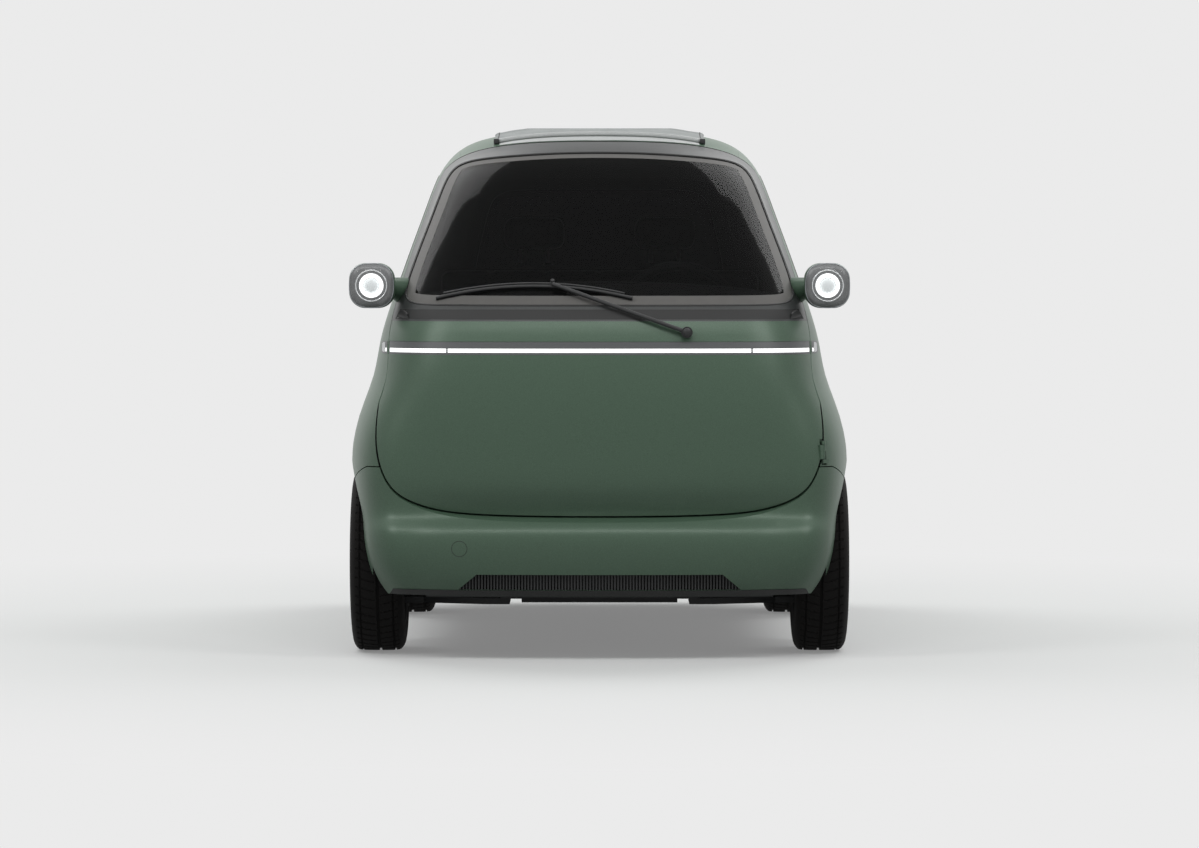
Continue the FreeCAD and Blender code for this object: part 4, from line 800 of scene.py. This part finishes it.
# Tyres: a tread of ribs with slanted cuts between grooves, and side walls with raised rings
tyre_radius = 266.5 * mm
tread_half = 58 * mm
groove_places = (-47 * mm, -3 * mm, 48 * mm)
groove_halves = (2.5 * mm, 4.5 * mm, 2.5 * mm)
groove_depth = 6.5 * mm
cut_depth = 4.0 * mm
cut_slant = 5.0
wall_slope, wall_inside = 0.6 * mm, 0.01 * mm
tread_spacing = 7.25 * mm
side_profile = [(66.5, 170.5), (70.5, 176), (71.5, 184), (72.5, 186), (72.3, 190), (75.5, 200), (77.5, 212),
                (78.6, 214), (78.6, 217), (77.8, 219), (77.2, 230), (75.0, 242), (71.5, 251), (66.5, 258),
                (62.0, 262.5)]
turn_steps = 480
cut_every = 8


def tread_radius(x, step):
    """The tread's radius at one place across it, at one step round it."""
    for place, half in zip(groove_places, groove_halves):
        if abs(x - place) < half:
            return tyre_radius - groove_depth
    crown = tyre_radius - 2.2 * mm * (x / tread_half) ** 4
    slanted = step + int(round(abs(x) / tread_half * cut_slant))
    offset = 0 if x > groove_places[1] else cut_every // 2
    if (slanted + offset) % cut_every == 0 and abs(x) > 6 * mm:
        return crown - cut_depth
    return crown


def tread_places():
    """Places across the tread, close together at the grooves' walls."""
    edges = [-tread_half, tread_half]
    for place, half in zip(groove_places, groove_halves):
        for wall in (-1, 1):
            edges += [place + wall * (half + wall_slope), place + wall * (half - wall_inside)]
    edges += [k * tread_spacing for k in range(-8, 9)]
    edges = sorted(edges)
    return [a for a, b in zip(edges, edges[1:] + [1]) if b - a > 0.4 * mm]


tread_line = tread_places()
for place in ("front_left", "front_right", "rear_left", "rear_right"):
    low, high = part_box("tyre_" + place)
    centre = (low + high) / 2
    side = 1 if centre.x > 0 else -1
    rows = []
    for step, angle in enumerate(circle(turn_steps)):
        section = [(-x * mm, r * mm) for x, r in side_profile]
        section += [(x, tread_radius(x, step)) for x in tread_line]
        section += [(x * mm, r * mm) for x, r in reversed(side_profile)]
        rows.append([(centre.x + side * x, centre.y + r * math.cos(angle), centre.z + r * math.sin(angle))
                     for x, r in section])
    tyre = grid_piece("tyre_tread_" + place, rows, tyre_rubber, "wheel_" + place, True)
    tyre.data.set_sharp_from_angle(angle=math.radians(32))
    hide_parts("tyre_" + place)
    out = Vector((side, 0, 0))
    hub = centre + out * 63 * mm
    turned_piece("wheel_cap_" + place, [(5, 0), (4.6, 14), (3, 25), (0.5, 29), (-2, 30)], hub, out, black_plastic,
                 "wheel_" + place, 48)
    for k in range(4):
        angle = math.pi / 4 + math.pi / 2 * k
        bolt = centre + out * 47 * mm + Vector((0, math.cos(angle), math.sin(angle))) * 50 * mm
        turned_piece("wheel_bolt_%s_%d" % (place, k), [(9, 0), (9, 6), (7, 8), (1, 8.5), (0, 11)], bolt, out,
                     bright_steel, "wheel_" + place, 6)
    disc_x = centre.x - side * 22 * mm
    turned_piece("brake_disc_" + place, [(0, 40), (0, 112), (9, 112), (9, 70), (30, 66), (30, 40)],
                 (disc_x, centre.y, centre.z), out, bright_steel, "wheel_" + place, 72)
    stem = centre + out * 44 * mm + Vector((0, 0, -1)) * 146 * mm
    turned_piece("valve_" + place, [(0, 0), (0, 3.5), (14, 3), (14, 2.2), (26, 2.2), (27, 0)], stem,
                 (side, 0, 0.35), black_plastic, "wheel_" + place, 12)

# Bench seat and head restraints: padded cloth, swollen by simulation and then sewn
pad_pressure = 4.0
pad_edge = 34 * mm
seat_voxel = 9 * mm
restraint_voxel = 5 * mm


def remeshed_block(name, low, high, edge, voxel, lean=0.0):
    """A rounded block cut into even squares, ready to swell. It leans back by lean over its height."""
    piece = block_piece(name, low, high, edge, seat_cloth, None, 5)
    height = high[2] - low[2]
    for vertex in piece.data.vertices:
        share = (vertex.co.z - low[2]) / height
        vertex.co.y += lean * share
    remesh = piece.modifiers.new("even", "REMESH")
    remesh.mode = "VOXEL"
    remesh.voxel_size = voxel
    apply_modifiers(piece)
    return piece


def apply_modifiers(piece):
    """Keeps a piece's shape as its modifiers leave it."""
    depsgraph = bpy.context.evaluated_depsgraph_get()
    mesh = bpy.data.meshes.new_from_object(piece.evaluated_get(depsgraph))
    piece.modifiers.clear()
    piece.data = mesh


def swell(piece, pressure, most):
    """Cloth simulation with air inside. No point moves further than most."""
    start = [v.co.copy() for v in piece.data.vertices]
    cloth = piece.modifiers.new("cloth", "CLOTH")
    cloth.settings.use_pressure = True
    cloth.settings.uniform_pressure_force = pressure
    cloth.settings.effector_weights.gravity = 0
    cloth.settings.tension_stiffness = 25
    cloth.settings.quality = 5
    for step in range(1, 21):
        scene.frame_set(step)
    apply_modifiers(piece)
    for vertex, old in zip(piece.data.vertices, start):
        move = vertex.co - old
        if move.length > most:
            vertex.co = old + move * (most / move.length)
    scene.frame_set(1)


def sew(piece, depth, width, distance):
    """Sinks a seam: distance(point) is how far a point is from the stitched line, or None off it."""
    mesh = piece.data
    normals = [v.normal.copy() for v in mesh.vertices]
    for vertex, normal in zip(mesh.vertices, normals):
        away = distance(vertex.co)
        if away is not None and away < width:
            vertex.co -= normal * depth * (0.5 + 0.5 * math.cos(math.pi * away / width))


def finish_pad(piece, node):
    """Covers a pad in seat cloth, smooths it, hangs it on the body and hides the node that it stands for."""
    piece.data.materials.clear()
    piece.data.materials.append(seat_cloth)
    finer = piece.modifiers.new("finer", "SUBSURF")
    finer.levels = finer.render_levels = 1
    piece.data.shade_smooth()
    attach(piece, "body")
    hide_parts(node)


low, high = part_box("seat_cushion")
inset = 9 * mm
cushion = remeshed_block("seat_cushion_pad", (low.x + inset, low.y + inset, low.z + 1 * mm),
                         (high.x - inset, high.y - inset, high.z - inset), pad_edge, seat_voxel)
swell(cushion, pad_pressure, 9 * mm)
top = high.z
outer_seam_x = 0.345
seat_seams = (0.0, -0.17, 0.17, -outer_seam_x, outer_seam_x)
cushion_cross_y, back_cross_z = -0.14, 1.0
seam_depth, seam_width = 6 * mm, 16 * mm


def seam_distance(across, along, cross):
    """How far a point is from the nearest lengthwise seam or, between the outer ones, from the cross seam."""
    return min(min(abs(across - x) for x in seat_seams), abs(along - cross) if abs(across) < outer_seam_x else 1)


def cushion_seam(p):
    """The distance to a seam on the cushion's top."""
    return None if p.z < top - 60 * mm else seam_distance(p.x, p.y, cushion_cross_y)


sew(cushion, seam_depth, seam_width, cushion_seam)
for vertex in cushion.data.vertices:
    vertex.co.z = max(vertex.co.z, low.z)
finish_pad(cushion, "seat_cushion")

low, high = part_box("seat_back")
lean = 72 * mm
back = remeshed_block("seat_back_pad", (low.x + inset, low.y + inset, low.z + inset),
                      (high.x - inset, low.y + 115 * mm - inset, high.z - inset), pad_edge, seat_voxel, lean)
swell(back, pad_pressure, 8 * mm)


def back_seam(p):
    """The distance to a seam on the back's front face."""
    middle = low.y + 57 * mm + lean * (p.z - low.z) / (high.z - low.z)
    return None if p.y > middle else seam_distance(p.x, p.z, back_cross_z)


sew(back, seam_depth, seam_width, back_seam)
finish_pad(back, "seat_back")

low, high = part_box("head_restraints")
restraint_x, restraint_half = 208 * mm, 107 * mm
pad_low_z, pad_high_z = 1170 * mm, 1292 * mm
pad_low_y, pad_high_y = 420 * mm, 510 * mm
for side, end in both_sides:
    x = side * restraint_x
    pad = remeshed_block("head_restraint_" + end,
                         (x - restraint_half + inset, pad_low_y + inset, pad_low_z + inset),
                         (x + restraint_half - inset, pad_high_y - inset, pad_high_z - inset), pad_edge,
                         restraint_voxel)
    swell(pad, pad_pressure, 8 * mm)
    sew(pad, 4 * mm, 9 * mm, lambda p: abs(p.y - pad_low_y - 45 * mm))
    finish_pad(pad, "head_restraints")
    for near in (-1, 1):
        post_x, post_y = x + near * 44.5 * mm, pad_low_y + 45 * mm
        which = end + ("_inner" if near * side < 0 else "_outer")
        turned_piece("restraint_post_" + which, [(0, 0), (0, 6), (60, 6), (60, 0)],
                     (post_x, post_y, 1131 * mm), (0, 0, 1), satin_steel, "body", 20)
        turned_piece("restraint_guide_" + which, [(0, 0), (0, 15), (6, 14), (8, 11), (8, 7)],
                     (post_x, post_y, 1129 * mm), (0, 0, 1), black_plastic, "body", 24)

# Floor and studio light. Seen directly, in a reflection or through glass, the floor away from the car is lit
# evenly. Rays that light the car meet a darker floor and a dim room, as they do in a studio.
floor_material, tree, shader, place = new_material("pale_studio_floor", "#8A8D8C", 0.9)
mottle(tree, shader, place, 900.0, "#8B8E8D", "#888B8A", 0.3, 0.7)


def seen_rays(tree):
    """1 for rays from the camera, off gloss and through glass, and 0 for those that light things."""
    path = add_node(tree, "LightPath")
    seen = add_node(tree, "Math", {"operation": "MAXIMUM"},
                    {0: (path, "Is Camera Ray"), 1: (path, "Is Glossy Ray")})
    return add_node(tree, "Math", {"operation": "MAXIMUM"}, {0: (seen, "Value"), 1: (path, "Is Transmission Ray")})


backdrop_level = 0.83
room_level = 0.15
even_from, even_to = 1.4, 4.2
even_least = 0.25
even = add_node(tree, "Emission", {"Color": colour("#FFFFFF"), "Strength": backdrop_level})
away = add_node(tree, "VectorMath", {"operation": "LENGTH"}, {"Vector": (place, "Object")})
far = add_node(tree, "MapRange",
               {"interpolation_type": "SMOOTHSTEP", "From Min": even_from, "From Max": even_to,
                "To Min": even_least, "To Max": 1.0}, {"Value": (away, "Value")})
seen = seen_rays(tree)
ramp = shader.inputs["Base Color"].links[0].from_node
pale = add_node(tree, "MixRGB", {"Color2": colour("#E0E2E1")},
                {"Fac": (seen, "Value"), "Color1": (ramp, "Color")})
tree.links.new(pale.outputs["Color"], shader.inputs["Base Color"])
share = add_node(tree, "Math", {"operation": "MULTIPLY"}, {0: (seen, "Value"), 1: (far, "Result")})
blend = add_node(tree, "MixShader", None, {"Fac": (share, "Value"), 1: (shader, "BSDF"), 2: (even, "Emission")})
tree.links.new(blend.outputs["Shader"], tree.nodes["Material Output"].inputs["Surface"])
floor_half = 60.0
floor_lines = (-floor_half, 0.0, floor_half)
floor = grid_piece("studio_floor", [[(x, y, 0.0) for x in floor_lines] for y in floor_lines], floor_material, None)

world = bpy.data.worlds.new("studio")
scene.world = world
world.use_nodes = True
tree = world.node_tree
background = tree.nodes["Background"]
background.inputs["Color"].default_value = colour("#FFFFFF")
level = add_node(tree, "MapRange", {"To Min": room_level, "To Max": backdrop_level},
                 {"Value": (seen_rays(tree), "Value")})
tree.links.new(level.outputs["Result"], background.inputs["Strength"])


def soft_light(name, location, target, width, height, watts):
    """A soft box that shines on a target."""
    light = bpy.data.lights.new(name, "AREA")
    light.shape = "RECTANGLE"
    light.size = width
    light.size_y = height
    light.energy = watts
    lamp = bpy.data.objects.new(name, light)
    lamp.location = location
    lamp.rotation_euler = (Vector(target) - Vector(location)).to_track_quat("-Z", "Y").to_euler()
    scene.collection.objects.link(lamp)


# Two boxes over the tail and three before the car, where the windscreen doesn't mirror them
soft_light("overhead_left", (-2.8, 2.6, 4.6), (0, 0.4, 0.7), 3.0, 5.0, 140)
soft_light("overhead_right", (2.8, 2.6, 4.6), (0, 0.4, 0.7), 3.0, 5.0, 140)
soft_light("front", (0, -5.0, 5.6), (0, -0.9, 0.7), 5.0, 1.5, 110)
soft_light("front_left", (-3.8, -3.6, 4.4), (0, -0.8, 0.7), 1.6, 2.4, 75)
soft_light("front_right", (3.8, -3.6, 4.4), (0, -0.8, 0.7), 1.6, 2.4, 75)
